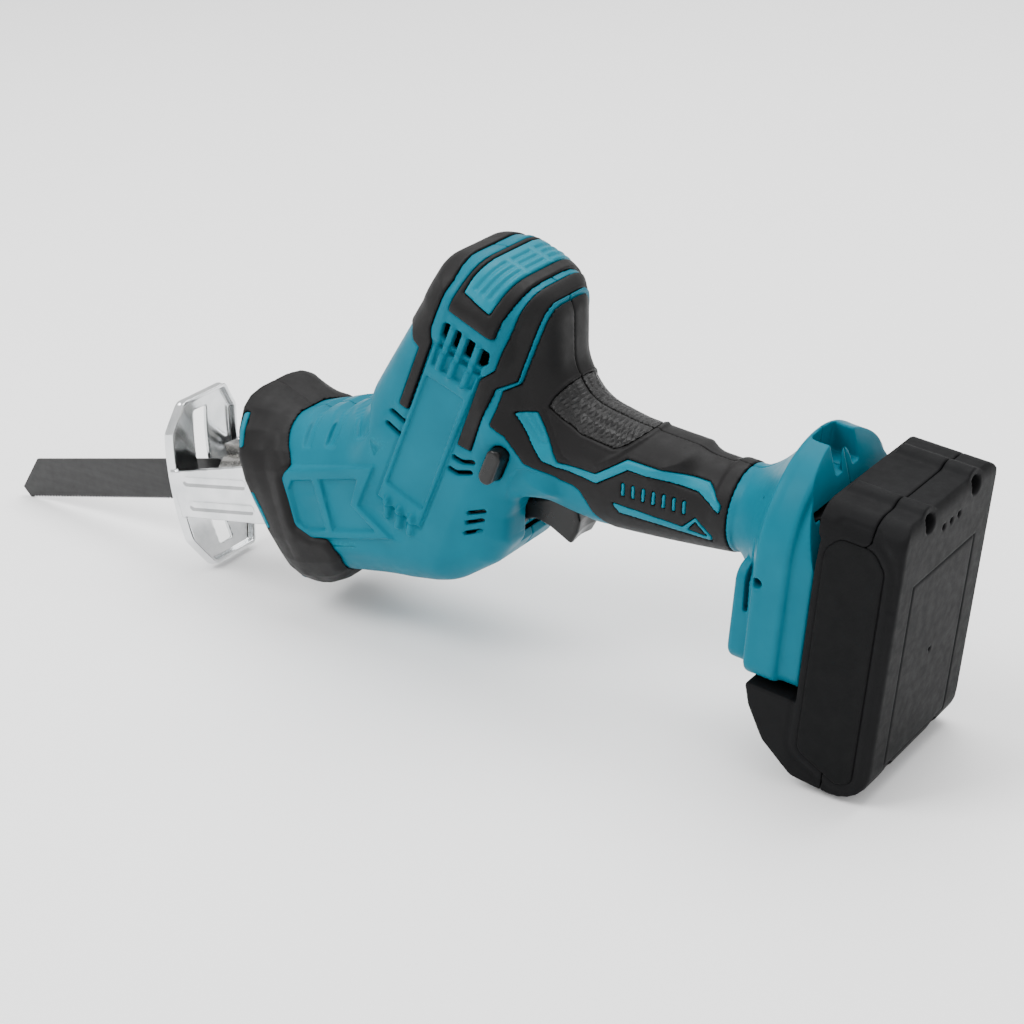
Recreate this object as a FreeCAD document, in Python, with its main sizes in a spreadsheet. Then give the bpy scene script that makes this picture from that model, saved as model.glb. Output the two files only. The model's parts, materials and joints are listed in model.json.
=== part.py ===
import math
import os

import FreeCAD
import Part
import Sketcher

# Cordless reciprocating saw. Lengths are millimetres.
#
# Five frames are used. All but grip and rest have their origin at the centre of the crank.
#   tool     X from the blade tip towards the battery, Z away from the shoe's lower edge, blade along X
#   motor    X along the armature shaft, away from the crank; Z towards the blade side of the motor
#   grip     X down the handle, Z up across it, from the handle's root
#   battery  X out of the foot, through the battery pack; Z up the pack, against the way it slides off
#   rest     the tool lying on its battery's lower edge and its shoe, the way it is put down on a bench

doc = FreeCAD.newDocument("reciprocating_saw")
Vector = FreeCAD.Vector
Rotation = FreeCAD.Rotation

# ---------------------------------------------------------------- driving dimensions

DIMENSIONS = {
    "rest_pitch": 12.6,
    "rest_lift": 65.86,
    "rest_shift": 18.7,
    "motor_tilt": 52.5,
    "battery_tilt": 19.3,
    "grip_tilt": 17.5,
    "shell_wall": 3.0,
    "body_half": 30.0,
    "grip_skin": 2.0,
    "blade_tip": 247.0,
    "blade_length": 150.0,
    "blade_height": 19.0,
    "blade_thick": 1.0,
    "clamp_back": 93.0,
    "clamp_length": 28.0,
    "clamp_radius": 9.0,
    "collar_radius": 12.5,
    "collar_length": 13.0,
    "rod_radius": 6.0,
    "crank_reach": 10.0,
    "roller_radius": 4.0,
    "yoke_gap": 6.7,
    "gear_radius": 30.8,
    "gear_thick": 6.0,
    "pinion_radius": 6.0,
    "case_radius": 33.6,
    "cavity_radius": 31.6,
    "bush_outer": 9.5,
    "shoe_sheet": 2.0,
    "shoe_half": 21.0,
    "shoe_pivot": 68.0,
    "pivot_radius": 3.0,
    "motor_radius": 18.0,
    "motor_front": 46.0,
    "motor_back": 91.0,
    "shaft_radius": 2.5,
    "core_radius": 12.4,
    "foot_half": 37.0,
    "foot_front": 157.0,
    "foot_step": 170.0,
    "foot_face": 178.6,
    "pack_top": 178.9,
    "pack_seam": 193.0,
    "pack_base": 211.3,
    "pack_half": 37.5,
    "pack_rear": 72.0,
    "pack_front": 41.6,
    "pack_wall": 2.2,
    "cell_radius": 9.2,
    "cell_length": 65.0,
    "cell_pitch": 19.0,
    "hook_hole_radius": 1.65,
    "hook_hole_depth": 9.0,
}

sheet = doc.addObject("Spreadsheet::Sheet", "Dims")
for row, (alias, number) in enumerate(DIMENSIONS.items(), start=1):
    sheet.set("A%d" % row, alias)
    sheet.set("B%d" % row, str(number))
    sheet.setAlias("B%d" % row, alias)
doc.recompute()


def dim(alias):
    """The number that the sheet holds under this alias."""
    return float(sheet.get(alias))


REST = FreeCAD.Placement(
    Vector(dim("rest_shift"), 0, dim("rest_lift")), Rotation(Vector(0, 1, 0), -dim("rest_pitch"))
)
TOOL = FreeCAD.Placement()
MOTOR = FreeCAD.Placement(Vector(), Rotation(Vector(0, 1, 0), -dim("motor_tilt")))
GRIP = FreeCAD.Placement(Vector(66, 0, 12.5), Rotation(Vector(0, 1, 0), dim("grip_tilt")))
BATTERY = FreeCAD.Placement(Vector(), Rotation(Vector(0, 1, 0), dim("battery_tilt")))
FACING = {"X": Rotation(Vector(0, 0, 1), Vector(1, 0, 0)), "Y": Rotation(Vector(0, 0, 1), Vector(0, 1, 0)),
          "Z": Rotation()}
LEFT = -1
RIGHT = 1
SIDES = {"left": LEFT, "right": RIGHT}
sub_parts = []

# ---------------------------------------------------------------- helpers


def bind(feature, setting, amount):
    """Gives a feature's setting a number, or ties it to an expression in the sheet's aliases."""
    if isinstance(amount, str):
        feature.setExpression(setting, amount)
    else:
        setattr(feature, setting, amount)


def publish(feature, label):
    """Names a finished sub-part and moves it from the tool's frame to the rest frame."""
    feature.Label = label
    feature.Placement = REST.multiply(feature.Placement)
    sub_parts.append(feature)
    return feature


def cylinder(name, radius, length, base, axis="Z", frame=TOOL):
    """A cylinder from base along one axis of a frame."""
    feature = doc.addObject("Part::Cylinder", name)
    bind(feature, "Radius", radius)
    bind(feature, "Height", length)
    feature.Placement = frame.multiply(FreeCAD.Placement(Vector(*base), FACING[axis]))
    return feature


def block(name, low, high, frame=TOOL):
    """A box between two opposite corners given in a frame."""
    feature = doc.addObject("Part::Box", name)
    feature.Length = high[0] - low[0]
    feature.Width = high[1] - low[1]
    feature.Height = high[2] - low[2]
    feature.Placement = frame.multiply(FreeCAD.Placement(Vector(*low), Rotation()))
    return feature


def fuse(name, features):
    feature = doc.addObject("Part::MultiFuse", name)
    feature.Shapes = features
    return feature


def cut(name, base, tool):
    feature = doc.addObject("Part::Cut", name)
    feature.Base = base
    feature.Tool = tool
    return feature


def common(name, base, tool):
    feature = doc.addObject("Part::Common", name)
    feature.Base = base
    feature.Tool = tool
    return feature


def compound(name, features):
    feature = doc.addObject("Part::Compound", name)
    feature.Links = features
    return feature


def rounded_outline(corners):
    """Straight runs joined by tangent arcs: each corner is (u, v, radius)."""
    points = [Vector(u, v, 0) for u, v, radius in corners]
    count = len(corners)
    bends = []
    for index, (u, v, radius) in enumerate(corners):
        here = points[index]
        before = points[index - 1].sub(here).normalize()
        after = points[(index + 1) % count].sub(here).normalize()
        if radius == 0:
            bends.append((here, None, here))
            continue
        half = before.getAngle(after) / 2
        reach = radius / math.tan(half)
        depth = radius / math.sin(half) - radius
        middle = here + (before + after).normalize() * depth
        bends.append((here + before * reach, middle, here + after * reach))
    edges = []
    for index, (start, middle, end) in enumerate(bends):
        if middle is not None:
            edges.append(Part.Arc(start, middle, end))
        following = bends[(index + 1) % count][0]
        if end.distanceToPoint(following) > 1e-6:
            edges.append(Part.LineSegment(end, following))
    return edges


def mirrored(corners):
    """Closes an outline given for u >= 0 with its mirror image across u = 0."""
    return corners + [(-u, v, radius) for u, v, radius in reversed(corners)]


def new_body(name, frame=TOOL):
    body = doc.addObject("PartDesign::Body", name)
    body.Placement = frame
    return body


def add_sketch(body, name, plane, start):
    """An empty sketch parallel to one of the body's origin planes, start along that plane's normal."""
    sketch = body.newObject("Sketcher::SketchObject", name + "_sketch")
    support = [f for f in body.Origin.OriginFeatures if f.Role == plane + "_Plane"][0]
    sketch.AttachmentSupport = [(support, "")]
    sketch.MapMode = "FlatFace"
    sketch.AttachmentOffset = FreeCAD.Placement(Vector(0, 0, start), Rotation())
    return sketch


def outline_sketch(body, name, plane, start, corners):
    sketch = add_sketch(body, name, plane, start)
    sketch.addGeometry(rounded_outline(corners), False)
    return sketch


def pad(body, name, plane, start, length, corners):
    """Adds the outline's prism: from start, along the plane's normal (XZ faces -Y), length long."""
    sketch = outline_sketch(body, name, plane, start, corners)
    feature = body.newObject("PartDesign::Pad", name)
    feature.Profile = sketch
    bind(feature, "Length", length)
    return feature


def ring(name, outer, inner, length, base, axis, frame=TOOL):
    """A plain sleeve: two circles, padded."""
    body = new_body(name, frame.multiply(FreeCAD.Placement(Vector(*base), FACING[axis])))
    sketch = add_sketch(body, name, "XY", 0)
    centre = Vector(0, 0, 0)
    up = Vector(0, 0, 1)
    for radius in (outer, inner):
        sketch.addGeometry(Part.Circle(centre, up, 1.0 if radius == inner else 2.0), False)
        index = sketch.GeometryCount - 1
        sketch.addConstraint(Sketcher.Constraint("Radius", index, 1.0))
        bind(sketch, "Constraints[%d]" % (sketch.ConstraintCount - 1), str(radius))
    feature = body.newObject("PartDesign::Pad", name + "_pad")
    feature.Profile = sketch
    bind(feature, "Length", length)
    return body


def prism(name, corners, start, length, plane="XZ", frame=TOOL, inset=0):
    """An outline extruded along Y (plane XZ) or X (plane YZ) of a frame, or shrunk by inset first."""
    turn = {"XZ": Rotation(Vector(1, 0, 0), 90), "YZ": Rotation(0.5, 0.5, 0.5, 0.5), "XY": Rotation()}[plane]
    shift = {"XZ": Vector(0, start, 0), "YZ": Vector(start, 0, 0), "XY": Vector(0, 0, start)}[plane]
    along = {"XZ": Vector(0, 1, 0), "YZ": Vector(1, 0, 0), "XY": Vector(0, 0, 1)}[plane]
    sketch = doc.addObject("Sketcher::SketchObject", name + "_sketch")
    sketch.Placement = frame.multiply(FreeCAD.Placement(shift, turn))
    sketch.addGeometry(rounded_outline(corners), False)
    base = sketch
    if inset:
        base = doc.addObject("Part::Offset2D", name + "_inset")
        base.Source = sketch
        bind(base, "Value", inset)
    feature = doc.addObject("Part::Extrusion", name)
    feature.Base = base
    feature.DirMode = "Custom"
    feature.Dir = frame.Rotation.multVec(along)
    bind(feature, "LengthFwd", length)
    feature.Solid = True
    return feature


def ellipse_loft(name, sections, frame, shrink=0):
    """A loft through upright ellipses; each section is (along, half height, half width, lift)."""
    rings = []
    for number, (along, height, width, lift) in enumerate(sections):
        shape = doc.addObject("Part::Ellipse", "%s_section_%d" % (name, number))
        upright = height >= width
        bind(shape, "MajorRadius", max(height, width) - shrink)
        bind(shape, "MinorRadius", min(height, width) - shrink)
        # the ellipse's own X is its long axis and its normal is the frame's X
        turn = Rotation(0.5, 0.5, 0.5, 0.5).multiply(Rotation(Vector(0, 0, 1), 90 if upright else 0))
        shape.Placement = frame.multiply(FreeCAD.Placement(Vector(along, 0, lift), turn))
        rings.append(shape)
    loft = doc.addObject("Part::Loft", name)
    loft.Sections = rings
    loft.Solid = True
    loft.Ruled = False
    return loft


# ---------------------------------------------------------------- outer form of the shells

FAR = 400.0  # longer than the tool: for cutting boxes
half = dim("body_half")

BODY_OUTLINE = [
    (-78, -35, 3), (-78, 36, 3), (-25, 43, 6), (-11, 45, 8), (6.5, 61.5, 20), (38, 88, 10), (52.5, 93.5, 8),
    (66, 86, 6), (77.5, 75, 5), (72.7, 49, 10), (72, 30, 0), (68, 1, 2), (49, 0, 2), (44, -8, 2),
    (43, -17, 4), (31, -28, 8), (10, -36.5, 15), (-12, -38, 0), (-40, -38, 0),
]
BELLY_SECTION = mirrored([(half, -38.5, 14), (half, 46, 10)])
MOTOR_SECTION = [
    (12, half, 0), (97, half, 18), (108.6, 12, 12), (108.6, -12, 12), (97, -half, 18), (12, -half, 0),
]
GRIP_SECTIONS = [(2, 22.5, 19.0, 0.5), (30, 17.8, 16.8, -0.7), (75.5, 16.2, 16.1, 1.4)]
FOOT_SECTION = mirrored([(dim("foot_half"), -7.6, 4), (dim("foot_half"), 78, 36.9)])
SKIRT_SECTION = mirrored([(34.5, -7.6, 3), (34.5, 75.5, 34.4)])


def body_form(name, inset):
    """The belly, nose and motor housing as one closed solid, or that solid's inside."""
    shrink = dim("shell_wall") if inset else 0
    side = prism(name + "_side", BODY_OUTLINE, -(half - shrink), 2 * (half - shrink), inset=inset)
    belly = prism(name + "_belly", BELLY_SECTION, -90, 170, "YZ", inset=inset)
    motor = prism(name + "_motor", MOTOR_SECTION, -60, 120, "XY", MOTOR, inset=inset)
    low = common(name + "_low", side, belly)
    high = common(name + "_high", side, motor)
    return fuse(name, [low, high])


def split(name, solid, side):
    """The half of a solid on one side of the middle plane."""
    low = -FAR if side == LEFT else 0.0
    half_space = block(name + "_half", (-FAR, low, -FAR), (FAR, low + FAR, FAR))
    return common(name, solid, half_space)


body_outer = body_form("body_outer", 0)
body_inner = body_form("body_inner", "-Dims.shell_wall")
grip_outer = ellipse_loft("grip_outer", GRIP_SECTIONS, GRIP)
grip_core = ellipse_loft("grip_core", GRIP_SECTIONS, GRIP, dim("grip_skin"))
inner_sections = [(x - 6 if x < 10 else x, h, w, lift) for x, h, w, lift in GRIP_SECTIONS]
grip_inner = ellipse_loft("grip_inner", inner_sections, GRIP, dim("grip_skin") + 2.6)


def grip_to_battery(x, z):
    """A point of the grip frame's middle plane, in the battery frame."""
    point = BATTERY.inverse().multVec(GRIP.multVec(Vector(x, 0, z)))
    return point.x, point.z


def foot_form():
    """The collar, the rounded flange around the battery's mouth and the block in front of it."""
    front = dim("foot_front")
    step = dim("foot_step")
    face = dim("foot_face")
    along, height = grip_to_battery(75.5, 1.4)
    collar_sections = [(along, 16.0, 16.0, height), (147, 20.5, 22.0, 41), (front + 1, 29, 33, 44)]
    collar = ellipse_loft("collar", collar_sections, BATTERY)
    flange = prism("foot_flange", FOOT_SECTION, front, step - front, "YZ", BATTERY)
    skirt = prism("foot_skirt", SKIRT_SECTION, step, face - step, "YZ", BATTERY)
    block_corners = mirrored([(32, -7.6, 6), (32, 36, 12)])
    lower = prism("foot_block", block_corners, 147, front - 147 + 1, "YZ", BATTERY)
    return [collar, flange, skirt, lower]


BOSSES = [(-66, -28), (-66, 29), (-32, 36.5), (36.5, -17.5), (24, 70), (66, 42)]
GRIP_BOSSES = [(26, 9.5), (52, -9)]
FOOT_SCREWS = [(152, 60), (160, -2)]


def boss_places():
    """Every housing screw as (x, z, y where it starts, y where its head sits)."""
    places = [(x, z, -20, 26) for x, z in BOSSES]
    for frame, points, depth in ((GRIP, GRIP_BOSSES, 8), (BATTERY, FOOT_SCREWS, 18)):
        for x, z in points:
            spot = frame.multVec(Vector(x, 0, z))
            places.append((spot.x, spot.z, -depth, depth))
    return places


BUTTON_MIDDLE = (44.7, -28.8)  # in the motor frame
BUTTON_LONG_HALF = 8.0
BUTTON_SHORT_HALF = 3.1


def button_outline(gap):
    """The lock bolt's stadium, or the hole it runs in."""
    along, across = BUTTON_MIDDLE
    long_half = BUTTON_LONG_HALF + gap
    short_half = BUTTON_SHORT_HALF + gap
    radius = short_half - 0.01
    corners = [(-1, -1), (1, -1), (1, 1), (-1, 1)]
    return [(along + u * long_half, across + v * short_half, radius) for u, v in corners]


def vent_slots():
    """Slots through both sides: the motor's outlet window and the inlets over the belly."""
    slots = []
    for number, low in enumerate((-10.0, -4.4, 2.0, 7.6)):
        slots.append(block("vent_window_%d" % number, (77.5, -FAR, low), (84, FAR, low + 3.8), MOTOR))
    for number in range(2):
        front = 36.5 - 6 * number
        rear = 32.5 - 5 * number
        slots.append(block("vent_front_%d" % number, (front, -FAR, 12), (front + 2.5, FAR, 18), MOTOR))
        slots.append(block("vent_rear_%d" % number, (rear, -FAR, -20), (rear + 2, FAR, -14), MOTOR))
    return slots


TRIGGER_WAY = ((36.5, -8.6, -30), (72.5, 8.6, 5))
foot = foot_form()
shell_outer = fuse("shell_outer", [body_outer, grip_core] + foot)
bosses = []
for number, (x, z) in enumerate(BOSSES):
    bosses.append(cylinder("boss_%d" % number, 4.0, 54.0, (x, -27, z), "Y"))
for number, (x, z) in enumerate(GRIP_BOSSES):
    bosses.append(cylinder("grip_boss_%d" % number, 3.6, 22.0, (x, -11, z), "Y", GRIP))
solid_bosses = fuse("solid_bosses", bosses)
hollow = [
    cut("clear_inside", fuse("hollow_inside", [body_inner, grip_inner]), solid_bosses),
    cylinder("wire_way", 9.0, 24.0, (66, 0, 1), "X", GRIP),
    block("board_pocket", (150, -20, -3), (163.5, 20, 55), BATTERY),
    block("rail_channel", (165, -24, -9), (dim("foot_face") + 1, 24, 60), BATTERY),
    block("rail_grooves", (168, -27.3, -9), (173.2, 27.3, 60), BATTERY),
    block("terminal_way", (163, -13, 34), (166, 13, 56), BATTERY),
    block("nose_mouth", (-80, -24.5, -24), (-74, 24.5, 24)),
    block("trigger_way", *TRIGGER_WAY),
    prism("lock_way", button_outline(0.3), -40, 80, "XZ", MOTOR),
]
hollow += vent_slots()
for side_name, side in SIDES.items():
    base = (158.6, side * (dim("foot_half") + 1), 31.2)
    hole = cylinder("hook_hole_" + side_name, "Dims.hook_hole_radius", "Dims.hook_hole_depth + 1", (0, 0, 0))
    turn = Rotation(Vector(0, 0, 1), Vector(0, -side, 0))
    hole.Placement = BATTERY.multiply(FreeCAD.Placement(Vector(*base), turn))
    hollow.append(hole)
screw_holes = []
for number, (x, z, start, head) in enumerate(boss_places()):
    screw_holes.append(cylinder("screw_pilot_%d" % number, 1.52, head - start + 1.5, (x, start - 1, z), "Y"))
    screw_holes.append(cylinder("screw_recess_%d" % number, 3.3, 14.0, (x, head, z), "Y"))
shell_cutter = fuse("shell_cutter", hollow + screw_holes)
shell = cut("shell", shell_outer, shell_cutter)
for side_name, side in SIDES.items():
    publish(split("housing_" + side_name, shell, side), "housing_" + side_name)

# ---------------------------------------------------------------- rubber and trim on the shells

WEB_OUTLINE = [
    (66, 78, 0), (77, 75.5, 3), (79.5, 69, 4), (74, 49, 10), (77, 34, 18), (95, 20.5, 20), (118, 14.5, 0),
    (100, 8, 0), (66, 8, 0),
]
grip_web = prism("grip_web", WEB_OUTLINE, -15, 30)
grip_skin = cut("grip_skin_solid", fuse("grip_skin_form", [grip_outer, grip_web]), fuse("grip_skin_cutter", [
    grip_core, body_outer, foot[0], block("skin_trigger_way", *TRIGGER_WAY),
] + screw_holes))
for side_name, side in SIDES.items():
    publish(split("grip_overmold_" + side_name, grip_skin, side), "grip_overmold_" + side_name)

BOOT_SECTION = mirrored([(20, -46, 12), (33.5, -22, 16), (34, 24, 16), (20, 46.5, 14)])
boot_block = prism("boot_block", BOOT_SECTION, -83, 27, "YZ")
boot_mouth = block("boot_mouth", (-84, -24.5, -24), (-76, 24.5, 24))
publish(cut("nose_boot", boot_block, fuse("boot_cutter", [body_outer, boot_mouth])), "nose_boot")

INSERT_THICK = 0.6
inserts = []
for side in (LEFT, RIGHT):
    for number, height in enumerate((19.0, 8.0, -3.0)):
        start = 34 if side == RIGHT else -34 - INSERT_THICK
        corner = (-79.5, start + INSERT_THICK, height + 4)
        inserts.append(block("insert_%d_%d" % (side, number), (-82, start, height - 4), corner))
publish(compound("boot_inserts", inserts), "boot_inserts")

STRIP_FRONT = [(41.8, 12.7, 0), (72, 12.7, 0), (76, 15.5, 0), (80, 15.5, 0), (80, 21.5, 0), (75, 21.8, 0),
               (69.8, 17.4, 0), (41.8, 17.2, 0)]
STRIP_REAR = [(42, -12.5, 0), (45.7, -19.4, 0), (72, -19.5, 0), (80, -24, 0), (80, -14.5, 0), (72, -11.3, 0)]
for side_name, side in SIDES.items():
    start = half if side == RIGHT else -half - 1
    strips = [
        prism("strip_front_" + side_name, STRIP_FRONT, start, 1, "XZ", MOTOR),
        prism("strip_rear_" + side_name, STRIP_REAR, start, 1, "XZ", MOTOR),
    ]
    publish(compound("side_trim_" + side_name, strips), "side_trim_" + side_name)

LID_SECTION = [(x + 1.2, math.copysign(abs(y) + 1.2, y), r) for x, y, r in MOTOR_SECTION]
arch = prism("lid_arch", LID_SECTION, -60, 120, "XY", MOTOR)
LID_SIDE = [(12, 64, 0), (44, 94, 0), (52, 96, 0), (68, 88, 0), (82, 74, 0), (60, 40, 0)]
lid_side = prism("lid_side", LID_SIDE, -half - 2, 2 * half + 4)
lid_shell = cut("lid_shell", common("lid_solid", arch, lid_side), body_outer)
cover_zone = block("cover_zone", (96, -FAR, -4), (130, FAR, 10), MOTOR)
trim_zone = block("trim_zone", (90, -FAR, -9), (130, FAR, 14.5), MOTOR)
publish(common("top_cover", lid_shell, cover_zone), "top_cover")
publish(cut("top_trim", common("top_trim_zone", lid_shell, trim_zone), cover_zone), "top_trim")

# ---------------------------------------------------------------- housing screws


def screw(name, x, z, start, head, frame=TOOL, axis="Y", drive=True):
    """A pan-head screw along Y: shank, head and a socket in the head."""
    shank = cylinder(name + "_shank", 1.5, head - start, (x, start, z), axis, frame)
    cap = cylinder(name + "_head", 3.0, 2.4, (x, head, z), axis, frame)
    socket = cylinder(name + "_socket", 1.2, 2.0, (x, head + 1.2, z), axis, frame)
    return cut(name, fuse(name + "_solid", [shank, cap]), socket)


screws = [screw("housing_screw_%d" % n, *place) for n, place in enumerate(boss_places())]
publish(compound("housing_screws", screws), "housing_screws")

# ---------------------------------------------------------------- gear case

BUSHES = (-74, -44)
case_solid = fuse("case_solid", [
    cylinder("case_drum", "Dims.case_radius", 35.5, (0, -18, 0), "Y"),
    cylinder("case_nose", 13.5, 46.0, (-76, 0, 0), "X"),
    block("case_ears", (-74, -17, -6), (-62, 17, 6)),
    cylinder("case_neck", 11.0, 13.0, (30, 0, 0), "X", MOTOR),
])
case_room = fuse("case_room", [
    cylinder("case_cavity", "Dims.cavity_radius", 34.0, (0, -15.5, 0), "Y"),
    cylinder("rod_bore", "Dims.bush_outer + 0.02", 60.0, (-77, 0, 0), "X"),
    cylinder("pinion_bore", 8.0, 20.0, (25, 0, 0), "X", MOTOR),
])
publish(cut("gear_case", case_solid, case_room), "gear_case")
publish(cylinder("gear_cover", "Dims.case_radius", 2.5, (0, 17.5, 0), "Y"), "gear_cover")
for name, x in zip(("front", "rear"), BUSHES):
    bush = ring("plunger_bush_" + name, "Dims.bush_outer", "Dims.rod_radius + 0.04", 12.0, (x, 0, 0), "X")
    publish(bush, "plunger_bush_" + name)
seal = ring("plunger_seal", "Dims.bush_outer", "Dims.rod_radius + 0.04", 3.0, (-61.5, 0, 0), "X")
publish(seal, "plunger_seal")
publish(cylinder("gear_axle", 4.0, 10.9, (0, 6.6, 0), "Y"), "gear_axle")

pivots = []
for side_name, side in SIDES.items():
    turn = Rotation(Vector(0, 0, 1), Vector(0, side, 0))
    place = FreeCAD.Placement(Vector(-dim("shoe_pivot"), side * 17, 0), turn)
    stub = cylinder("pivot_stub_" + side_name, "Dims.pivot_radius", 4.3, (0, 0, 0))
    stub.Placement = place
    washer = cylinder("pivot_head_" + side_name, 5.0, 1.6, (0, 0, 0))
    washer.Placement = place.multiply(FreeCAD.Placement(Vector(0, 0, 4.3), Rotation()))
    pivots.append(fuse("shoe_pivot_" + side_name, [stub, washer]))
publish(compound("shoe_pivots", pivots), "shoe_pivots")

# ---------------------------------------------------------------- crank

hub_radius = 7.0
teeth_inner = 26.5
tooth_count = 40
gear_solid = fuse("gear_solid", [
    cylinder("gear_disc", "Dims.gear_radius", "Dims.gear_thick", (0, 9, 0), "Y"),
    cylinder("gear_rim", "Dims.gear_radius", 2.3, (0, 6.8, 0), "Y"),
    cylinder("gear_hub", 10.0, 2.0, (0, 15, 0), "Y"),
])
gaps = []
for number in range(tooth_count):
    gap = block("tooth_gap_%d" % number, (teeth_inner - 1, 6, -0.9), (dim("gear_radius") + 1, 8.9, 0.9))
    turn = FreeCAD.Placement(Vector(), Rotation(Vector(0, 1, 0), 360.0 * number / tooth_count))
    gap.Placement = turn.multiply(gap.Placement)
    gaps.append(gap)
gear_room = fuse("gear_room", gaps + [
    cylinder("gear_recess", teeth_inner, 3.0, (0, 6, 0), "Y"),
    cylinder("gear_bore", hub_radius + 0.02, 12.0, (0, 6, 0), "Y"),
    cylinder("pin_seat", 2.22, 4.0, (0, 8.9, dim("crank_reach")), "Y"),
    cylinder("balance_hole_a", 4.0, 8.0, (14, 8, 10), "Y"),
    cylinder("balance_hole_b", 4.0, 8.0, (-14, 8, 10), "Y"),
])
publish(cut("crank_gear", gear_solid, gear_room), "crank_gear")
publish(ring("gear_bearing", hub_radius, 4.04, 8.0, (0, 9, 0), "Y"), "gear_bearing")
publish(cylinder("crank_pin", 2.2, 17.4, (0, -4.6, dim("crank_reach")), "Y"), "crank_pin")
roller = ring("crank_roller", "Dims.roller_radius", 2.24, 7.6, (0, -3.8, dim("crank_reach")), "Y")
publish(roller, "crank_roller")

# ---------------------------------------------------------------- plunger and blade

yoke_wall = 3.0
yoke_x = dim("yoke_gap") + yoke_wall
slot_z = dim("crank_reach") + dim("roller_radius") + 0.5
yoke_z = slot_z + yoke_wall
back = dim("clamp_back")
plunger = fuse("plunger_solid", [
    cylinder("plunger_shaft", "Dims.rod_radius", back - yoke_x + 1, (-back, 0, 0), "X"),
    block("yoke_plate", (-yoke_x, -4, -yoke_z), (yoke_x, 4, yoke_z)),
])
yoke_slot = block("yoke_slot", (-dim("yoke_gap"), -5, -slot_z), (dim("yoke_gap"), 5, slot_z))
publish(cut("plunger_rod", plunger, yoke_slot), "plunger_rod")

clamp_front = back + dim("clamp_length")
pin_x = -clamp_front + 6
clamp_blank = cylinder("clamp_blank", "Dims.clamp_radius", "Dims.clamp_length", (-clamp_front, 0, 0), "X")
clamp_room = fuse("clamp_room", [
    block("tang_slot", (-clamp_front - 1, -0.65, -6.4), (-clamp_front + 12, 0.65, 6.4)),
    cylinder("clamp_pin_hole", 1.52, 20.0, (pin_x, -10, 0), "Y"),
])
publish(cut("clamp_cut", clamp_blank, clamp_room), "clamp_body")
publish(cylinder("clamp_pin", 1.5, 16.8, (pin_x, -8.4, 0), "Y"), "clamp_pin")

collar_ring = ring("collar_ring", "Dims.collar_radius", "Dims.clamp_radius + 0.15", "Dims.collar_length",
                   (-clamp_front + 2, 0, 0), "X")
collar_lug = block("collar_lug", (-clamp_front + 3, -3, 11.2), (-clamp_front + 13, 3, 17.2))
publish(fuse("clamp_collar", [collar_ring, collar_lug]), "clamp_collar")


def blade_outline():
    """Back, raked tip, toothed edge and tang of the blade."""
    tip = -dim("blade_tip")
    edge = dim("blade_height") / 2
    shoulder = -clamp_front - 5
    end = tip - 15.6 + dim("blade_length") + 2.6
    tooth_pitch = 2.0
    tooth_depth = 1.1
    corners = [(tip, edge, 0), (shoulder, edge, 0), (shoulder + 4, 6, 0), (end, 6, 0), (end, -6, 0),
               (shoulder + 4, -6, 0), (shoulder, -edge + tooth_depth, 0)]
    x = shoulder - 4
    while x > tip - 10:
        corners.append((x, -edge + tooth_depth, 0))
        corners.append((x - tooth_pitch * 0.7, -edge, 0))
        x -= tooth_pitch
    return corners + [(tip - 12.4, -edge, 0), (tip - 15.6, -4.3, 0)]


blade_body = new_body("blade")
pad(blade_body, "blade_plate", "XZ", -dim("blade_thick") / 2, "Dims.blade_thick", blade_outline())
doc.recompute()
hole_outline = add_sketch(blade_body, "tang_hole", "XZ", -dim("blade_thick"))
hole_outline.addGeometry(Part.Circle(Vector(pin_x, 0, 0), Vector(0, 0, 1), 1.6), False)
tang_hole = blade_body.newObject("PartDesign::Pocket", "tang_hole")
tang_hole.Profile = hole_outline
tang_hole.Reversed = True
bind(tang_hole, "Length", "2 * Dims.blade_thick")
publish(blade_body, "blade")

# ---------------------------------------------------------------- shoe

SHOE_CURVE = 120.0
curve_x = -139.5 + SHOE_CURVE
sheet_thick = dim("shoe_sheet")
flange = 6.5


def shoe_section(inset):
    wide = dim("shoe_half") - inset
    narrow = 13 - inset
    return mirrored([
        (narrow, -35 + inset, 2), (wide, -21 + inset, 3), (wide, 28 - inset, 3), (narrow, 40 - inset, 2),
    ])


def curved_sheet(name, depth):
    """The layer of the shoe's curve that is depth thick, wide enough for its outline."""
    outer = cylinder(name + "_outer", SHOE_CURVE, 60.0, (curve_x, -30, -9), "Y")
    inner = cylinder(name + "_inner", SHOE_CURVE - depth, 60.0, (curve_x, -30, -9), "Y")
    return cut(name, outer, inner)


shoe_face = common("shoe_face", curved_sheet("shoe_layer", sheet_thick),
                   prism("shoe_outline", shoe_section(0), -150, 40, "YZ"))
rim_ring = cut("rim_ring", prism("rim_outer", shoe_section(0), -150, 40, "YZ"),
               prism("rim_inner", shoe_section(sheet_thick), -151, 42, "YZ"))
shoe_rim = common("shoe_rim", curved_sheet("rim_layer", flange), rim_ring)
ARM = [(-135, -9.5, 0), (-135, 11.2, 0), (-90, 13.7, 0), (-58, 12, 8), (-58, -12, 8), (-90, -12.3, 0)]
arms = []
for side in (LEFT, RIGHT):
    start = dim("shoe_half") - sheet_thick if side == RIGHT else -dim("shoe_half")
    arms.append(prism("shoe_arm_%d" % side, ARM, start, sheet_thick))
shoe_room = fuse("shoe_room", [
    prism("blade_slot", mirrored([(4, -29, 3.9), (4, 33, 3.9)]), -150, 40, "YZ"),
    cylinder("pivot_bore", "Dims.pivot_radius + 0.06", 60.0, (-dim("shoe_pivot"), -30, 0), "Y"),
])
publish(cut("shoe", fuse("shoe_solid", [shoe_face, shoe_rim] + arms), shoe_room), "shoe")

# ---------------------------------------------------------------- motor

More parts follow.
